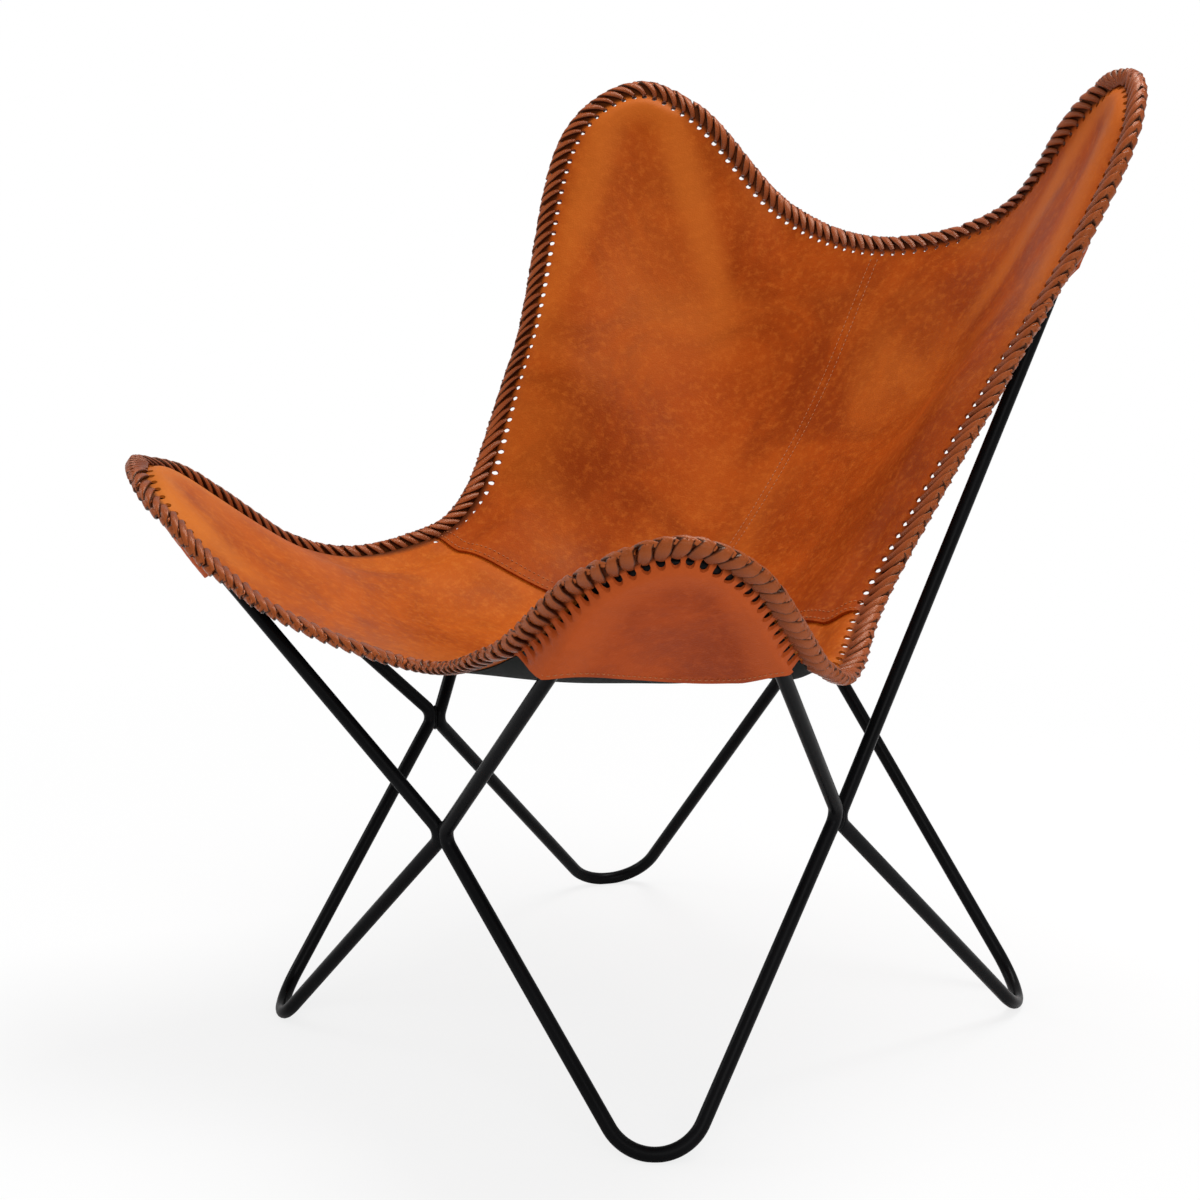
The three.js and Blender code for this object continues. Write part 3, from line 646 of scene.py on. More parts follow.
# %% Where the lace goes through
HOLE_PITCH = 0.0125
HOLE_INSET = 0.0048
HOLE_SIZES = {"sling": (0.0028, 0.0029), "pocket": (0.0038, 0.0045)}
PUNCH_SIDES = 14
PUNCH_LENGTH = 0.03
FAN_REACH = 0.018
corner_stations = [0]
for cells in (len(all_places), len(flank_levels), len(all_places), len(flank_levels)):
    corner_stations.append(corner_stations[-1] + cells - 1)


def edge_at(key, place):
    """A value of the edge at fractional places round it."""
    place = np.asarray(place)
    low = np.floor(place).astype(int)
    share = (place - low)[..., None]
    return EDGE[key][low % ROUND] * (1 - share) + EDGE[key][(low + 1) % ROUND] * share


def places_between(first, last, spare_first, spare_last):
    """Evenly spaced places along the edge, short of both ends by what is spared there."""
    start, end = EDGE["length"][first] + spare_first, EDGE["length"][last] - spare_last
    count = round((end - start) / HOLE_PITCH)
    return np.interp(np.linspace(start, end, count + 1), EDGE["length"], np.arange(ROUND + 1))


def corner_spare(i):
    """Strips fan out over the front left and the back right tip, and go on evenly over the others."""
    return HOLE_PITCH / 2 if i % 2 else FAN_REACH


RUNS = {
    name: places_between(*corner_stations[i:i + 2], corner_spare(i), corner_spare(i + 1))
    for i, name in enumerate(("front", "right", "back", "left"))
}
FANS = {"front": corner_stations[0], "back": corner_stations[2]}
holes = np.concatenate([*RUNS.values(), list(FANS.values())])
print("holes:", len(holes))


def copies(bm, mesh, spots):
    """Adds one copy of a small mesh for every row of vertex places."""
    before = len(bm.verts)
    for _ in range(len(spots)):
        bm.from_mesh(mesh)
    bm.verts.ensure_lookup_table()
    for k, spot in enumerate(spots.reshape(-1, 3)):
        bm.verts[before + k].co = Vector(spot)


def punches(half_width, half_height):
    one = bmesh.new()
    sizes = {"segments": PUNCH_SIDES, "radius1": 1, "radius2": 1, "depth": PUNCH_LENGTH}
    bmesh.ops.create_cone(one, cap_ends=True, **sizes)
    bmesh.ops.scale(one, verts=one.verts, vec=(half_width, half_height, 1))
    single = as_mesh(one, "punch")
    flat = np.array([v.co for v in single.vertices])
    along, out = edge_at("tangent", holes), edge_at("outward", holes)
    spots = (edge_at("point", holes) - HOLE_INSET * out)[:, None]
    for k, axis in enumerate((along, out, np.cross(along, out))):
        spots = spots + flat[None, :, k, None] * axis[:, None]
    bm = bmesh.new()
    copies(bm, single, spots)
    return finish(bm, "punches")


punch = {part: punches(*size) for part, size in HOLE_SIZES.items()}


# %% Wall, punch and keep the result
# Within these distances of a rod the hide is lightened, partly for the stretch and partly as a painted
# highlight.
RIDGE_STRETCH_AND_HIGHLIGHT = (0.0092, 0.032)
# The hide under the lace is darkened with painted shade: reach is how far from the edge it goes, and fade is
# where it sets in across the edge.
PAINTED_SHADE = {"reach": 0.02, "fade": (-0.0045, 0.0005)}
SHARP = math.radians(50)
ROD_POINTS = np.concatenate(list(RODS.values())) + SHIFT


def mark_leather(mesh):
    """For the hide's material: shade marks what lies under the lace, which gets painted shade, and ridge what
    a rod draws tight, which is lightened partly for the stretch and partly as a painted highlight.
    """
    spots = np.array([v.co for v in mesh.vertices])
    places, gaps = nearest(spots, EDGE["line"])
    beyond = ((spots - EDGE["point"][places]) * EDGE["outward"][places]).sum(1)
    marks = {
        "shade": np.where(gaps < PAINTED_SHADE["reach"], smooth_step(beyond, *PAINTED_SHADE["fade"]), 0),
        "ridge": 1 - smooth_step(nearest(spots, ROD_POINTS)[1], *RIDGE_STRETCH_AND_HIGHLIGHT),
    }
    for name, values in marks.items():
        mesh.attributes.new(name, "FLOAT", "POINT").data.foreach_set("value", values.astype(np.float32))


def leather_piece(bm, name, thickness, part=None):
    """Gives a sheet its wall, punches it, and keeps the result as a plain mesh."""
    draft = finish(bm, "draft")
    solidify = draft.modifiers.new("wall", "SOLIDIFY")
    solidify.thickness = thickness
    solidify.offset = 0
    if part:
        cut = draft.modifiers.new("punch", "BOOLEAN")
        cut.solver = "MANIFOLD"
        cut.object = punch[part]
    depsgraph = bpy.context.evaluated_depsgraph_get()
    mesh = bpy.data.meshes.new_from_object(draft.evaluated_get(depsgraph))
    mesh.name = name
    mesh.set_sharp_from_angle(angle=SHARP)
    mark_leather(mesh)
    bpy.data.meshes.remove(draft.data)
    return in_scene(name, mesh)


# %% [markdown]
# The seat is one piece of leather and the back is two, which meet in the middle. A dark cloth
# hangs under the seat. All four could be cut from one mesh, but as pieces of their own they can
# overlap, and each has its own wall.

# %% The seat and the two halves of the back
for name, levels, places, height in (
    ("seat_leather", seat_levels, all_places, seat_height),
    ("back_leather_right", back_levels, right_places, back_height),
    ("back_leather_left", back_levels, -right_places[::-1], back_height),
):
    piece = leather_piece(sheet(levels, places, height), name, LEATHER, "sling")
    stands_for(piece, name.replace("leather", "panel"))
    print(name, "faces", len(piece.data.polygons))

# %% The lining
LINING_INSET = 3
lining_levels = seat_levels[seat_levels <= DIVE_START][LINING_INSET:]
lining_places = all_places[LINING_INSET:-LINING_INSET]
lining_sheet = sheet(lining_levels, lining_places, lining_height, rim=False)
lining = leather_piece(lining_sheet, "seat_cloth", LINING)
stands_for(lining, "seat_lining")
print(lining.name, "faces", len(lining.data.polygons))

# %% [markdown]
# A pocket is cut like the corner of the sling and laced to it along both edges. Its mouth is
# pulled taut between the two rods. The sling's own corner could be copied and pushed out, but it
# would follow each rod closely, so here each row sinks to the straight line between its deepest
# places instead.

# %% The four pockets
POCKET_ROWS = 36
POCKET_TURNS = 60
MOUTH_BOW = 0.48
MOUTH_SKEW = 1.35
RIM_FADE = (0.1, 0.9)
WELD_WITHIN = 1e-5


def taut(drops):
    """Each row of drops sinks to the straight line between its deepest places."""
    places = np.arange(drops.shape[1])
    result = drops.copy()
    for row, out in zip(drops, result):
        for a in range(len(places)):
            for b in range(a + 2, len(places)):
                shares = (places[a + 1:b] - a) / (b - a)
                out[a + 1:b] = np.maximum(out[a + 1:b], row[a] + (row[b] - row[a]) * shares)
    return result


MOUTHS = {}


def pocket(end, side):
    """The sheet of one pocket. The line of its mouth is kept for the thread."""
    is_front = end == "front"
    share = np.linspace(0, 1, POCKET_ROWS + 1)[:, None]
    turn = np.linspace(0, 1, POCKET_TURNS + 1)[None]
    bow = 1 + MOUTH_BOW * np.sin(np.pi * turn**MOUTH_SKEW) ** 2
    across = side * (1 - (1 - share) * POCKET_ACROSS[end, side] * (1 - turn) * bow)
    reach = (1 - share) * POCKET_ALONG[end] * turn * bow
    along = reach if is_front else 1 - reach
    flat_across, flat_along = across.ravel(), along.ravel()
    points, normals = sling_point(flat_across, flat_along), sling_normal(flat_across, flat_along)
    level = np.full(flat_along.shape, 0.0 if is_front else 1.0)
    drops = taut(below_rods(points, normals, flat_across, level).reshape(across.shape)).ravel()
    drops = -folded(points, normals, flat_across, level, -drops, -1)
    placed = points - normals * drops[:, None] + SHIFT
    bm = bmesh.new()
    bmesh.ops.create_grid(bm, x_segments=POCKET_TURNS, y_segments=POCKET_ROWS, size=0.5)
    stations = {}
    for vertex in bm.verts:
        i = round((vertex.co.x + 0.5) * POCKET_TURNS)
        j = round((vertex.co.y + 0.5) * POCKET_ROWS)
        here = j * (POCKET_TURNS + 1) + i
        vertex.co = Vector(placed[here])
        if i in (0, POCKET_TURNS):
            stations[vertex] = int(nearest(points[here:here + 1] + SHIFT, EDGE["line"])[0][0])
    add_rim(bm, stations, smooth_step(EDGE["paired"][:, 0], *RIM_FADE))
    bmesh.ops.remove_doubles(bm, verts=bm.verts, dist=WELD_WITHIN)
    if is_front == (side < 0):
        bmesh.ops.reverse_faces(bm, faces=bm.faces)
    row = slice(POCKET_TURNS + 1, 2 * (POCKET_TURNS + 1))
    MOUTHS[end, side] = placed[row] - normals[row] * LEATHER / 2, -normals[row]
    return bm


for end in PLANS:
    for word, side in (("right", 1), ("left", -1)):
        piece = leather_piece(pocket(end, side), f"pocket_leather_{end}_{word}", LEATHER, "pocket")
        stands_for(piece, f"pocket_{end}_{word}")
        print(piece.name, "faces", len(piece.data.polygons))
for tool in punch.values():
    bpy.data.objects.remove(tool)

# %% [markdown]
# The seams are sewn with thread: two rows over the lap between seat and back, one row on each
# side of the middle of the back, and one along the mouth of each pocket. A dashed line in the
# material could stand for it, but close up a stitch is seen to rise in the middle and to dip into
# the leather at both ends, so each one is a short low-sided cord.

# %% One stitch, and a row of them
STITCH = {"pitch": 0.0052, "length": 0.0042, "width": 0.0009, "rise": 0.00035, "end_share": 0.45}
STITCH_SIDES, STITCH_CUTS = 6, 3


def stitch_mesh():
    bm = bmesh.new()
    bmesh.ops.create_cone(bm, segments=STITCH_SIDES, radius1=0.5, radius2=0.5, depth=1, cap_ends=True)
    bmesh.ops.rotate(bm, verts=bm.verts, matrix=Matrix.Rotation(math.radians(90), 3, "Y"))
    bmesh.ops.translate(bm, verts=bm.verts, vec=(0.5, 0, 0))
    long_edges = [e for e in bm.edges if abs(e.verts[0].co.x - e.verts[1].co.x) > 0.5]
    bmesh.ops.subdivide_edges(bm, edges=long_edges, cuts=STITCH_CUTS)
    return as_mesh(bm, "stitch")


stitch = stitch_mesh()
stitch_spots = np.array([v.co for v in stitch.vertices])


def units(vectors):
    return vectors / np.maximum(np.linalg.norm(vectors, axis=-1, keepdims=True), TINY)


def sew(bm, points, normals, spare):
    """Sews a row of stitches along a line on the leather, short of both ends by what is spared."""
    lengths = np.concatenate([[0], np.cumsum(np.linalg.norm(np.diff(points, axis=0), axis=1))])
    starts = np.arange(spare, lengths[-1] - spare, STITCH["pitch"])

    def read(values, at):
        return np.stack([np.interp(at, lengths, values[:, k]) for k in range(3)], axis=-1)

    a, b = read(points, starts), read(points, starts + STITCH["length"])
    face = units(read(normals, starts))
    wide = units(np.cross(face, b - a))
    x, y, z = stitch_spots.T
    thin = STITCH["width"] * (STITCH["end_share"] + (1 - STITCH["end_share"]) * np.sin(np.pi * x))
    rise = STITCH["rise"] * (2 * np.sin(np.pi * x) - 1) + z * thin
    spots = a[:, None] + (b - a)[:, None] * x[None, :, None]
    spots = spots + wide[:, None] * (y * thin)[None, :, None] + face[:, None] * rise[None, :, None]
    copies(bm, stitch, spots)


# %% Sew the seams
LAP_ROWS = (0.0035, 0.0115)
MIDDLE_ROW = 0.0042
SPARE = {"lap": 0.006, "middle": 0.014, "mouth": 0.016}
SEAM_SAMPLES = 200


def top_line(across, level):
    places, normals = on_leather(across, level, back_height)
    return places + normals * LEATHER / 2, normals


for word, side in (("right", 1), ("left", -1)):
    bm = bmesh.new()
    seam_across = side * np.linspace(SEAM_STEPS[-1], 1, SEAM_SAMPLES)
    for off in LAP_ROWS:
        seam_level = np.full(SEAM_SAMPLES, LAP_START + off / middle_line.total)
        sew(bm, *top_line(seam_across, seam_level), SPARE["lap"])
    middle_across = np.full(SEAM_SAMPLES, side * MIDDLE_ROW / front_edge[1].total)
    sew(bm, *top_line(middle_across, np.linspace(LAP_START, 1, SEAM_SAMPLES)), SPARE["middle"])
    piece = finish(bm, f"thread_back_{word}")
    stands_for(piece, f"back_panel_{word}")
    print(piece.name, "faces", len(piece.data.polygons))
    for end in PLANS:
        bm = bmesh.new()
        sew(bm, *MOUTHS[end, side], SPARE["mouth"])
        stands_for(finish(bm, f"thread_mouth_{end}_{word}"), f"pocket_{end}_{word}")

# %% [markdown]
# Each ring of the frame is one rod, bent and closed. A circle could be extruded from bend to
# bend, but a curve with a round bevel carries the rod round them by itself. Its mesh is then cut
# flat where two rings bear on each other and where the rod stands on the floor.

# %% The four rings
ROD_RESOLUTION = 6
CUT_WITHIN = 1e-6


def cut_flat(bm, place, direction):
    """Cuts a rod flat and closes the cut."""
    everything = [*bm.verts, *bm.edges, *bm.faces]
    plane = {"plane_co": place, "plane_no": direction, "dist": CUT_WITHIN}
    cut = bmesh.ops.bisect_plane(bm, geom=everything, clear_inner=True, **plane)
    rim = [g for g in cut["geom_cut"] if isinstance(g, bmesh.types.BMEdge) and g.is_boundary]
    bmesh.ops.holes_fill(bm, edges=rim, sides=0)
    for edge in rim:
        edge.smooth = False


def ring(end, side, word):
    """One closed rod, cut flat in the middle, at the flank and on the floor."""
    plan = PLANS[end]
    bends = [plan[key]["points"] for key in ("tip", "flank", "foot", "middle")]
    line = mirrored(np.concatenate(bends), side) + SHIFT
    curve = bpy.data.curves.new("rod", "CURVE")
    curve.dimensions = "3D"
    curve.bevel_depth = ROD_RADIUS
    curve.bevel_resolution = ROD_RESOLUTION
    spline = curve.splines.new("POLY")
    spline.points.add(len(line) - 1)
    for point, place in zip(spline.points, line):
        point.co = (*place, 1)
    spline.use_cyclic_u = True
    maker = in_scene("rod", curve)
    depsgraph = bpy.context.evaluated_depsgraph_get()
    mesh = bpy.data.meshes.new_from_object(maker.evaluated_get(depsgraph))
    bm = bmesh.new()
    bm.from_mesh(mesh)
    bpy.data.objects.remove(maker)
    bpy.data.curves.remove(curve)
    bpy.data.meshes.remove(mesh)
    sign = 1 if end == "front" else -1
    flank_normal = mirrored(SIDE_NORMAL, side) * sign
    cut_flat(bm, Vector((side * FIT_GAP / 2, 0, 0)), Vector((side, 0, 0)))
    bearing_at = mirrored(SIDE_CROSSING, side) + SHIFT + flank_normal * FIT_GAP / 2
    cut_flat(bm, Vector(bearing_at), Vector(flank_normal))
    cut_flat(bm, Vector(), Vector(UP))
    bmesh.ops.recalc_face_normals(bm, faces=bm.faces)
    piece = finish(bm, f"rod_{end}_{word}")
    stands_for(piece, f"ring_{end}_{word}")
    return piece


rings = [ring(end, side, word) for end in PLANS for word, side in (("right", 1), ("left", -1))]
print("rings:", *(len(r.data.polygons) for r in rings))

# %% [markdown]
# Each leather and the lining has the size it was cut to listed here: its width and length laid flat,
# measured along the surface and with the turned edges, and the area of the cut. The loop below only
# looks each piece up. All of them hang stretched: the leathers over the rods, and the lining under the seat.

CUTS = {
    "seat_leather": (0.811, 0.419, 0.263),
    "back_leather_right": (0.413, 0.606, 0.185),
    "back_leather_left": (0.413, 0.607, 0.185),
    "pocket_leather_front_right": (0.309, 0.199, 0.034),
    "pocket_leather_front_left": (0.299, 0.168, 0.028),
    "pocket_leather_back_right": (0.316, 0.214, 0.035),
    "pocket_leather_back_left": (0.313, 0.211, 0.035),
    "seat_cloth": (0.754, 0.357, 0.209),
}
for name, (width, length, area) in CUTS.items():
    place = name.replace("pocket_leather_", "").replace("back_leather_", "back_")
    piece = bpy.data.objects[name]
print("sheets:", len(CUTS))

# %% [markdown]
# The edge is bound with a flat leather lace in a plait: from each hole on the inner face a
# strip slants out to the crest, and from each hole on the outer face a broader one comes up to
# meet it. One strip is modelled flat with a domed top, and every turn of the lace is a copy of
# it bent round the edge. At two of the tips, thin strips fan out of one hole.

# %% One strip of lace, flat
STRIP_CELLS = 7
LACE_THICK = 0.0031
LACE_COVER = 0.0009
CREST_OUT = 0.0128
ROLL_IN = 0.0018
CREST_POWER, SIDE_POWER = 1.7, 3
DOME = {"offset": 0.45, "segments": 2, "profile": 0.5}


def flat_strip():
    """x runs along the strip from 0 to 1, y across it from -0.5 to 0.5, and z through it."""
    bm = bmesh.new()
    bmesh.ops.create_cube(bm, size=1, matrix=Matrix.Translation((0.5, 0, 0.5)))
    long_edges = [e for e in bm.edges if abs(e.verts[0].co.x - e.verts[1].co.x) > 0.5]
    bmesh.ops.subdivide_edges(bm, edges=long_edges, cuts=STRIP_CELLS - 1)
    top = [e for e in bm.edges
           if all(v.co.z > 0.9 for v in e.verts) and abs(e.verts[0].co.y - e.verts[1].co.y) < 0.1]
    bmesh.ops.bevel(bm, geom=top, affect="EDGES", material=-1, **DOME)
    layer = bm.loops.layers.uv.new("strip")
    for loop in (loop for face in bm.faces for loop in face.loops):
        loop[layer].uv = (loop.vert.co.x, loop.vert.co.y + 0.5)
    return as_mesh(bm, "strip")


strip_mesh = flat_strip()
flat_spots = np.array([v.co for v in strip_mesh.vertices])
SHARES, share_of = np.unique(flat_spots[:, 0].round(5), return_inverse=True)
print("faces of one strip:", len(strip_mesh.polygons))


# %% Bend strips round the edge
def roll(place, turn):
    """A point on the roll that the lace lies on. turn is -1 on the inner face, 0 at the crest, 1 outside."""
    off = np.abs(turn)[..., None]
    out = CREST_OUT - (CREST_OUT + ROLL_IN) * off**CREST_POWER
    thick = edge_at("half", place) + LEATHER / 2 + LACE_COVER
    rise = -np.sign(turn)[..., None] * thick * (1 - (1 - off) ** SIDE_POWER)
    return edge_at("point", place) + edge_at("outward", place) * out + edge_at("normal", place) * rise


def lay_strips(bm, place, turn, width, lift, tilt):
    """place and turn have a row for each strip and a column for each share along it."""
    step = 0.02
    centre = roll(place, turn)
    face = units(np.cross(edge_at("tangent", place), roll(place, turn - step) - roll(place, turn + step)))
    centre = centre + face * lift[..., None]
    run = units(np.gradient(centre, axis=1))
    wide = units(np.cross(face, run))
    over = flat_spots[:, 1] * width[..., share_of]
    spots = centre[:, share_of] + wide[:, share_of] * over[..., None]
    spots = spots + face[:, share_of] * (flat_spots[:, 2] * LACE_THICK + flat_spots[:, 1] * tilt)[:, None]
    copies(bm, strip_mesh, spots)


# %% The four runs of lacing
INNER_LEAF = {"forward": 0.0270, "start": -1.0, "end": 0.16, "width": 0.0070, "tilt": 0.0014}
OUTER_LEAF = {"forward": 0.0105, "start": 1.0, "end": -0.20, "width": 0.0116, "tilt": -0.0016}
LEAF = {"slant": 1.15, "end_width": 0.70, "fullest": 1.06, "rise": 2.6, "ease": 0.5, "fall": 4, "sink": 1.4}
JITTER = np.array([0.07, 0.05, 0.07])[:, None, None]
FAN = {"strips": 9, "from": -0.012, "to": 0.034, "gather": 0.35, "width": 0.0062, "tilt": 0.0008}
FAN_SHAPE = {"end_width": 0.6, "rise": 1.5, "sink": 0.6}
STATION = EDGE["length"][-1] / ROUND
rng = np.random.default_rng(7)


def leaf(bm, starts, size):
    """One strip from each hole, bent over the edge, each a little different from the next."""
    slanting, turning, widening = 1 + JITTER * rng.normal(0, 1, (3, len(starts), 1))
    place = starts[:, None] + size["forward"] / STATION * slanting * SHARES ** LEAF["slant"]
    turn = size["start"] + (size["end"] - size["start"]) * SHARES * turning
    swell = np.sin(np.pi * np.clip(SHARES * LEAF["fullest"], 0, 1))
    width = size["width"] * widening * (LEAF["end_width"] + (1 - LEAF["end_width"]) * swell)
    lift = LEAF["rise"] * SHARES ** LEAF["ease"] * (1 - SHARES ** LEAF["fall"]) - LEAF["sink"]
    lay_strips(bm, place, turn, width, np.broadcast_to(LACE_COVER * lift, place.shape), size["tilt"])


def fan(bm, apex):
    """Strips that spread from one hole round a tip."""
    swell = np.sin(np.pi * SHARES)
    spread = np.linspace(FAN["from"], FAN["to"], FAN["strips"])[:, None] / STATION
    place = apex + spread * (FAN["gather"] + (1 - FAN["gather"]) * swell)
    turn = 2.0 * SHARES - 1.0
    width = FAN["width"] * (FAN_SHAPE["end_width"] + (1 - FAN_SHAPE["end_width"]) * swell)
    lift = LACE_COVER * (FAN_SHAPE["rise"] * swell - FAN_SHAPE["sink"])
    lay_strips(bm, place, *(np.broadcast_to(row, place.shape) for row in (turn, width, lift)), FAN["tilt"])


for run, places in RUNS.items():
    bm = bmesh.new()
    leaf(bm, places, OUTER_LEAF)
    leaf(bm, places, INNER_LEAF)
    if run in FANS:
        fan(bm, FANS[run])
    piece = finish(bm, f"lace_{run}")
    piece.data.set_sharp_from_angle(angle=SHARP)
    shades = np.repeat(rng.random(len(piece.data.vertices) // len(flat_spots)), len(flat_spots))
    piece.data.attributes.new("strip", "FLOAT", "POINT").data.foreach_set("value", shades.astype(np.float32))
    stands_for(piece, f"lacing_{run}")
    print(piece.name, "faces", len(piece.data.polygons))

# %% [markdown]
# The three hides differ in tone but share their marks, so the marks are a node group that only
# puts out masks: clouds of dye, flecks, scuffs and grain. Images could be painted instead, but
# noise has no seams and keeps its size on every piece. The patterns read Object coordinates, so
# they stay on the piece, and only the lace follows its own UV map.

# %% Helpers for nodes
def feed(tree, sockets, values):
    """Links or sets each named input."""
    for key, value in values.items():
        if isinstance(value, bpy.types.NodeSocket):
            tree.links.new(value, sockets[key])
        else:
            sockets[key].default_value = value


def add(tree, kind, inputs, **settings):
    made = tree.nodes.new("ShaderNode" + kind)
    for key, value in settings.items():
        setattr(made, key, value)
    feed(tree, made.inputs, inputs)
    return made


def math_node(tree, operation, first, second=0.0):
    return add(tree, "Math", {0: first, 1: second}, operation=operation).outputs[0]


def ramp(tree, value, low, high, out_low=0.0, out_high=1.0):
    sockets = {"Value": value, "From Min": low, "From Max": high, "To Min": out_low, "To Max": out_high}
    return add(tree, "MapRange", sockets, interpolation_type="SMOOTHSTEP").outputs["Result"]


def noise(tree, where, scale, detail, **more):
    return add(tree, "TexNoise", {"Vector": where, "Scale": scale, "Detail": detail, **more}).outputs["Fac"]


def attribute(tree, name):
    return add(tree, "Attribute", {}, attribute_name=name).outputs["Fac"]


def mixed(tree, factor, a, b):
    return add(tree, "Mix", {0: factor, 6: a, 7: b}, data_type="RGBA").outputs[2]


def bump(tree, height, distance, strength):
    return add(tree, "Bump", {"Height": height, "Distance": distance, "Strength": strength}).outputs["Normal"]


def colour(red, green, blue):
    return (red, green, blue, 1)


def new_group(name, inputs, outputs):
    tree = bpy.data.node_groups.new(name, "ShaderNodeTree")
    for label, kind in inputs.items():
        tree.interface.new_socket(label, in_out="INPUT", socket_type="NodeSocket" + kind)
    for label in outputs:
        tree.interface.new_socket(label, in_out="OUTPUT", socket_type="NodeSocketFloat")
    return tree, tree.nodes.new("NodeGroupInput").outputs, tree.nodes.new("NodeGroupOutput").inputs


# %% The marks of a hide
def hide_marks():
    """Clouds of dye, small flecks, long scuffs and the pores of the grain."""
    given = {"Coordinates": "Vector", "Cloud Scale": "Float", "Grain Scale": "Float"}
    tree, given, out = new_group("hide_marks", given, ("Clouds", "Flecks", "Scuffs", "Grain"))
    where = given["Coordinates"]
    clouds = noise(tree, where, given["Cloud Scale"], 7.0, Roughness=0.68, Distortion=0.7)
    flecks = noise(tree, where, 130.0, 4.0, Roughness=0.7)
    drawn = add(tree, "Mapping", {"Vector": where, "Rotation": (0.3, 0.6, 0.5), "Scale": (22, 210, 60)})
    lines = noise(tree, drawn.outputs[0], 1.0, 1.0, Distortion=0.6)
    off = math_node(tree, "ABSOLUTE", math_node(tree, "SUBTRACT", lines, 0.5))
    patches = ramp(tree, noise(tree, where, 11.0, 2.0), 0.52, 0.66)
    pores = add(tree, "TexVoronoi", {"Vector": where, "Scale": given["Grain Scale"]}).outputs["Distance"]
    feed(tree, out, {
        "Clouds": ramp(tree, clouds, 0.34, 0.66),
        "Flecks": ramp(tree, flecks, 0.45, 0.72),
        "Scuffs": math_node(tree, "MULTIPLY", ramp(tree, off, 0.0, 0.014, 1.0, 0.0), patches),
        "Grain": math_node(tree, "ADD", pores, noise(tree, where, 420.0, 3.0)),
    })
    return tree


MARKS = hide_marks()
print("groups:", MARKS.name)


# %% Hide, for the sling and its pockets
# The ridge share lightens the hide over the rods, partly for the stretch and partly as a painted highlight.
# The shade share darkens it under the lace with painted shade.
FLECK_SHARE, RIDGE_STRETCH_AND_HIGHLIGHT_SHARE, SCUFF_SHARE, PAINTED_SHADE_SHARE = 0.36, 0.6, 0.35, 0.86
# The colour of the painted shade under the lace.
PAINTED_SHADE_COLOUR = colour(0.035, 0.008, 0.003)


def new_material(name):
    material = bpy.data.materials.new(name)
    material.use_nodes = True
    tree = material.node_tree
    return material, tree, tree.nodes["Principled BSDF"].inputs, add(tree, "TexCoord", {}).outputs["Object"]


def hide(name, base, dark, light, cloud_scale=8.0):
    """Two tones of dye in clouds, lightened where the hide is worn, lightened over the rods partly for the
    stretch and partly as a painted highlight, and darkened under the lace with painted shade.
    """
    material, tree, shader, where = new_material(name)
    given = {"Coordinates": where, "Cloud Scale": cloud_scale, "Grain Scale": 620.0}
    marks = add(tree, "Group", given, node_tree=MARKS).outputs
    tone = mixed(tree, marks["Clouds"], colour(*dark), colour(*base))
    large = noise(tree, where, 3.1, 3.0, Distortion=1.2)
    tone = mixed(tree, ramp(tree, large, 0.42, 0.7, 0.0, 0.45), tone, colour(*light))
    for mask, share, to in (
        (marks["Flecks"], FLECK_SHARE, colour(*light)),
        # lighter over the rods: partly the stretch, partly a painted highlight
        (attribute(tree, "ridge"), RIDGE_STRETCH_AND_HIGHLIGHT_SHARE, colour(*light)),
        (marks["Scuffs"], SCUFF_SHARE, colour(*light)),
        # painted shade under the lace
        (attribute(tree, "shade"), PAINTED_SHADE_SHARE, PAINTED_SHADE_COLOUR),
    ):
        tone = mixed(tree, math_node(tree, "MULTIPLY", mask, share), tone, to)
    feed(tree, shader, {
        "Base Color": tone,
        "Roughness": ramp(tree, marks["Clouds"], 0.0, 1.0, 0.42, 0.55),
        "Specular IOR Level": 0.11,
        "Specular Tint": colour(1.0, 0.6, 0.3),
        "Normal": bump(tree, marks["Grain"], 0.00022, 0.5),
    })
    return material


LOOKS = {
    "seat": hide("cognac_hide", (0.44, 0.083, 0.005), (0.29, 0.047, 0.002), (0.62, 0.175, 0.022)),
    "back": hide("dark_cognac_hide", (0.345, 0.052, 0.002), (0.225, 0.029, 0.001), (0.52, 0.125, 0.014)),
    "pocket": hide("russet_hide", (0.42, 0.064, 0.010), (0.28, 0.038, 0.006), (0.50, 0.092, 0.020), 10.0),
}
print("hides:", *LOOKS)

# %% [markdown]
# The lace is a waxed strip of leather, darkened almost to black along both edges. Its streaks could be one
# noise in space, like the hide's, but the strips turn every way, so the streaks follow the strip's UV map
# and each strip gets its own tone from an attribute. The thread is a twisted cord, for which a
# band pattern is enough.

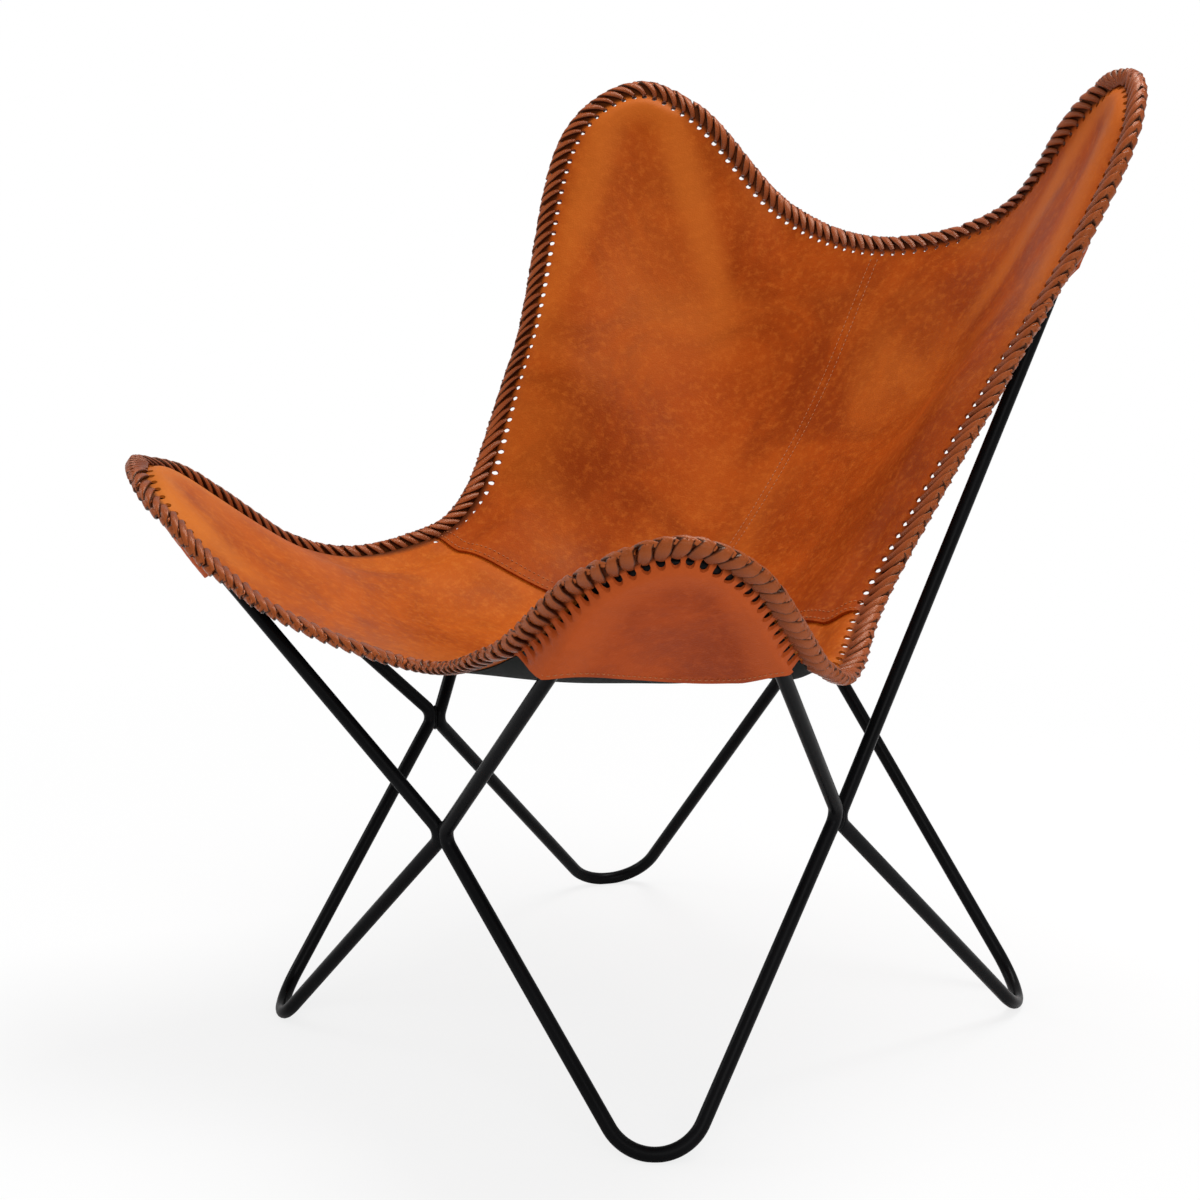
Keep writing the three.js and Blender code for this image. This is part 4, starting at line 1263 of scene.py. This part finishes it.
# %% Lace and thread
def lace():
    """Each strip has its own tone, edges darkened almost to black, and streaks along its length."""
    material, tree, shader, _ = new_material("waxed_lace")
    uv = add(tree, "UVMap", {}, uv_map="strip").outputs["UV"]
    strip = attribute(tree, "strip")
    apart = add(tree, "VectorMath", {0: uv, 1: (2.5, 26.0, 1.0)}, operation="MULTIPLY").outputs[0]
    offset = add(tree, "CombineXYZ", {"X": math_node(tree, "MULTIPLY", strip, 40.0)}).outputs[0]
    drawn = add(tree, "VectorMath", {0: apart, 1: offset}, operation="ADD").outputs[0]
    streaks = noise(tree, drawn, 1.0, 3.0)
    tone = mixed(tree, strip, colour(0.15, 0.026, 0.005), colour(0.36, 0.076, 0.015))
    tone = mixed(tree, ramp(tree, streaks, 0.5, 0.75, 0.0, 0.5), tone, colour(0.52, 0.15, 0.045))
    across = add(tree, "SeparateXYZ", {"Vector": uv}).outputs["Y"]
    off = math_node(tree, "ABSOLUTE", math_node(tree, "SUBTRACT", across, 0.5))
    feed(tree, shader, {
        # both long edges of each strip are darkened almost to black
        "Base Color": mixed(tree, ramp(tree, off, 0.36, 0.5, 0.0, 0.9), tone, colour(0.02, 0.004, 0.002)),
        "Roughness": ramp(tree, streaks, 0.3, 0.7, 0.16, 0.32),
        "Specular IOR Level": 0.34,
        "Specular Tint": colour(1.0, 0.7, 0.48),
        "Normal": bump(tree, streaks, 0.0004, 0.5),
    })
    return material


def bands(tree, where, scale, distortion, direction="X"):
    given = {"Vector": where, "Scale": scale, "Distortion": distortion}
    return add(tree, "TexWave", given, bands_direction=direction).outputs["Fac"]


def thread():
    material, tree, shader, where = new_material("waxed_thread")
    twist = bands(tree, where, 420.0, 2.0)
    feed(tree, shader, {
        "Base Color": mixed(tree, twist, colour(0.34, 0.09, 0.020), colour(0.50, 0.17, 0.050)),
        "Roughness": 0.6,
        "Normal": bump(tree, twist, 0.0002, 0.4),
    })
    return material


LOOKS["lace"], LOOKS["thread"] = lace(), thread()
print("cords:", LOOKS["lace"].name, LOOKS["thread"].name)

# %% [markdown]
# The lining is black cotton canvas. Its threads could be modelled, but it is seen only from
# below and in shadow. Two crossed band patterns, multiplied together, give the small squares of
# a plain weave.

# %% Canvas of the lining
def canvas():
    material, tree, shader, where = new_material("black_canvas")
    warp, weft = (bands(tree, where, 190.0, 0.4, direction) for direction in "XY")
    weave = math_node(tree, "MULTIPLY", warp, weft)
    feed(tree, shader, {
        "Base Color": mixed(tree, weave, colour(0.004, 0.005, 0.0045), colour(0.013, 0.017, 0.015)),
        "Roughness": ramp(tree, weave, 0.0, 1.0, 0.95, 0.8),
        "Specular IOR Level": 0.15,
        "Normal": bump(tree, weave, 0.0005, 0.6),
    })
    return material


LOOKS["lining"] = canvas()
print("lining:", LOOKS["lining"].name)

# %% [markdown]
# The frame is steel with black enamel, nearly smooth on the rods and rippled over the welds. Two
# materials could be made by hand, but one function makes both, each with its own scale and depth
# of ripple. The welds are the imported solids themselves, which only get their finish here.

# %% Enamel of the rods and the welds
def enamel(name, ripple_scale, ripple_depth):
    material, tree, shader, where = new_material(name)
    speckle = noise(tree, where, 900.0, 3.0)
    patches = noise(tree, where, 14.0, 4.0)
    ripple = noise(tree, where, ripple_scale, 2.0)
    tone = mixed(tree, patches, colour(0.002, 0.002, 0.002), colour(0.006, 0.006, 0.007))
    specks = ramp(tree, speckle, 0.62, 0.75, 0.0, 0.5)
    feed(tree, shader, {
        "Base Color": mixed(tree, specks, tone, colour(0.014, 0.014, 0.016)),
        "Roughness": ramp(tree, patches, 0.3, 0.7, 0.26, 0.38),
        "Specular IOR Level": 0.06,
        "Normal": bump(tree, math_node(tree, "ADD", speckle, ripple), ripple_depth, 0.35),
    })
    return material


LOOKS["steel"] = enamel("black_enamel", 260.0, 0.00012)
LOOKS["weld"] = enamel("enamelled_weld", 420.0, 0.0006)
STARTS = {
    "seat_leather": "seat",
    "back_leather": "back",
    "pocket_leather": "pocket",
    "seat_cloth": "lining",
    "lace": "lace",
    "thread": "thread",
    "rod": "steel",
    "weld": "weld",
}
for obj in bpy.context.scene.objects:
    for start, look in STARTS.items():
        if obj.type == "MESH" and obj.name.startswith(start):
            obj.data.materials.clear()
            obj.data.materials.append(LOOKS[look])
print("materials:", *(material.name for material in LOOKS.values()))

# %% [markdown]
# The floor runs on into the white of the background: seen directly it fades to plain white with
# distance, and near the chair it keeps a light shadow. To every other ray it is plain matt paint.
# A curved backdrop could do this too, but it would show its own shading behind the chair.

# %% Floor
FLOOR_FADE = (0.7, 1.7)
FLOOR_REACH = 6
NEAR_WHITE = 0.80


def floor_material():
    material, tree, shader, where = new_material("pale_floor")
    tones = colour(0.86, 0.86, 0.86), colour(0.88, 0.88, 0.88)
    feed(tree, shader, {
        "Base Color": mixed(tree, noise(tree, where, 2.0, 3.0), *tones),
        "Roughness": 0.9,
        "Specular IOR Level": 0.1,
    })
    white = add(tree, "Emission", {"Color": colour(1, 1, 1), "Strength": 1.0}).outputs[0]
    seen = add(tree, "LightPath", {}).outputs["Is Camera Ray"]
    far = add(tree, "VectorMath", {0: where}, operation="LENGTH").outputs["Value"]
    share = math_node(tree, "MULTIPLY", seen, ramp(tree, far, *FLOOR_FADE, NEAR_WHITE, 1.0))
    mix = add(tree, "MixShader", {0: share, 1: tree.nodes["Principled BSDF"].outputs[0], 2: white})
    feed(tree, tree.nodes["Material Output"].inputs, {"Surface": mix.outputs[0]})
    return material


bm = bmesh.new()
bmesh.ops.create_grid(bm, x_segments=1, y_segments=1, size=FLOOR_REACH)
floor = in_scene("floor", as_mesh(bm, "floor"))
floor.data.materials.append(floor_material())
print("floor reaches", FLOOR_REACH, "m each way")

# %% [markdown]
# The studio's light is soft: a bright surround, a large lamp high over the chair's back, which
# favours the seat and the wings, and a weaker one on each side. Seen directly, the surround is
# plain white. A picture of a studio could light the chair as well, but lamps can be moved one by
# one until the shadows fall right.

# %% World and lamps
SURROUND = 0.5
AIM = Vector((0, 0, 0.4))
LAMPS = {
    "key": ((0.2, 0.8, 3.1), 1.6, 68),
    "fill_right": ((2.4, -1.7, 1.6), 1.6, 20),
    "fill_left": ((-2.4, -1.4, 1.5), 1.2, 14),
}
world = bpy.data.worlds.new("studio")
bpy.context.scene.world = world
world.use_nodes = True
tree = world.node_tree
path = add(tree, "LightPath", {}).outputs
seen = math_node(tree, "MAXIMUM", path["Is Camera Ray"], path["Is Transmission Ray"])
surround = {"Strength": ramp(tree, seen, 0.0, 1.0, SURROUND, 1.0), "Color": colour(1, 1, 1)}
feed(tree, tree.nodes["Background"].inputs, surround)


def facing(away):
    """The turn of a lamp or camera that looks back along the way it was moved."""
    return (-away).to_track_quat("-Z", "Y").to_euler()


for name, (place, size, power) in LAMPS.items():
    light = bpy.data.lights.new(name, "AREA")
    light.size, light.energy = size, power
    holder = in_scene(name, light)
    holder.location = place
    holder.rotation_euler = facing(Vector(place) - AIM)
bpy.context.scene.view_settings.view_transform = "Standard"
print("lamps:", *LAMPS)

# %% [markdown]
# The camera stands low, in front of the chair and to one side, as it did for the picture. A
# place and a turn could be typed in, but two angles and a distance from a target can each be
# judged alone.

# %% Camera
CAMERA = {"azimuth": 42.53, "elevation": 11.46, "distance": 2.0173, "target": (0.03442, -0.10616, 0.42030)}
LENS, SENSOR = 67.5, 36
azimuth, elevation = (math.radians(CAMERA[key]) for key in ("azimuth", "elevation"))
level_away = np.array([math.sin(azimuth), -math.cos(azimuth), 0])
away = Vector(level_away * math.cos(elevation) + UP * math.sin(elevation))
camera = in_scene("camera", bpy.data.cameras.new("camera"))
camera.data.lens, camera.data.sensor_width = LENS, SENSOR
camera.location = Vector(CAMERA["target"]) + away * CAMERA["distance"]
camera.rotation_euler = facing(away)
bpy.context.scene.camera = camera
print("camera at", *(round(value, 3) for value in camera.location))
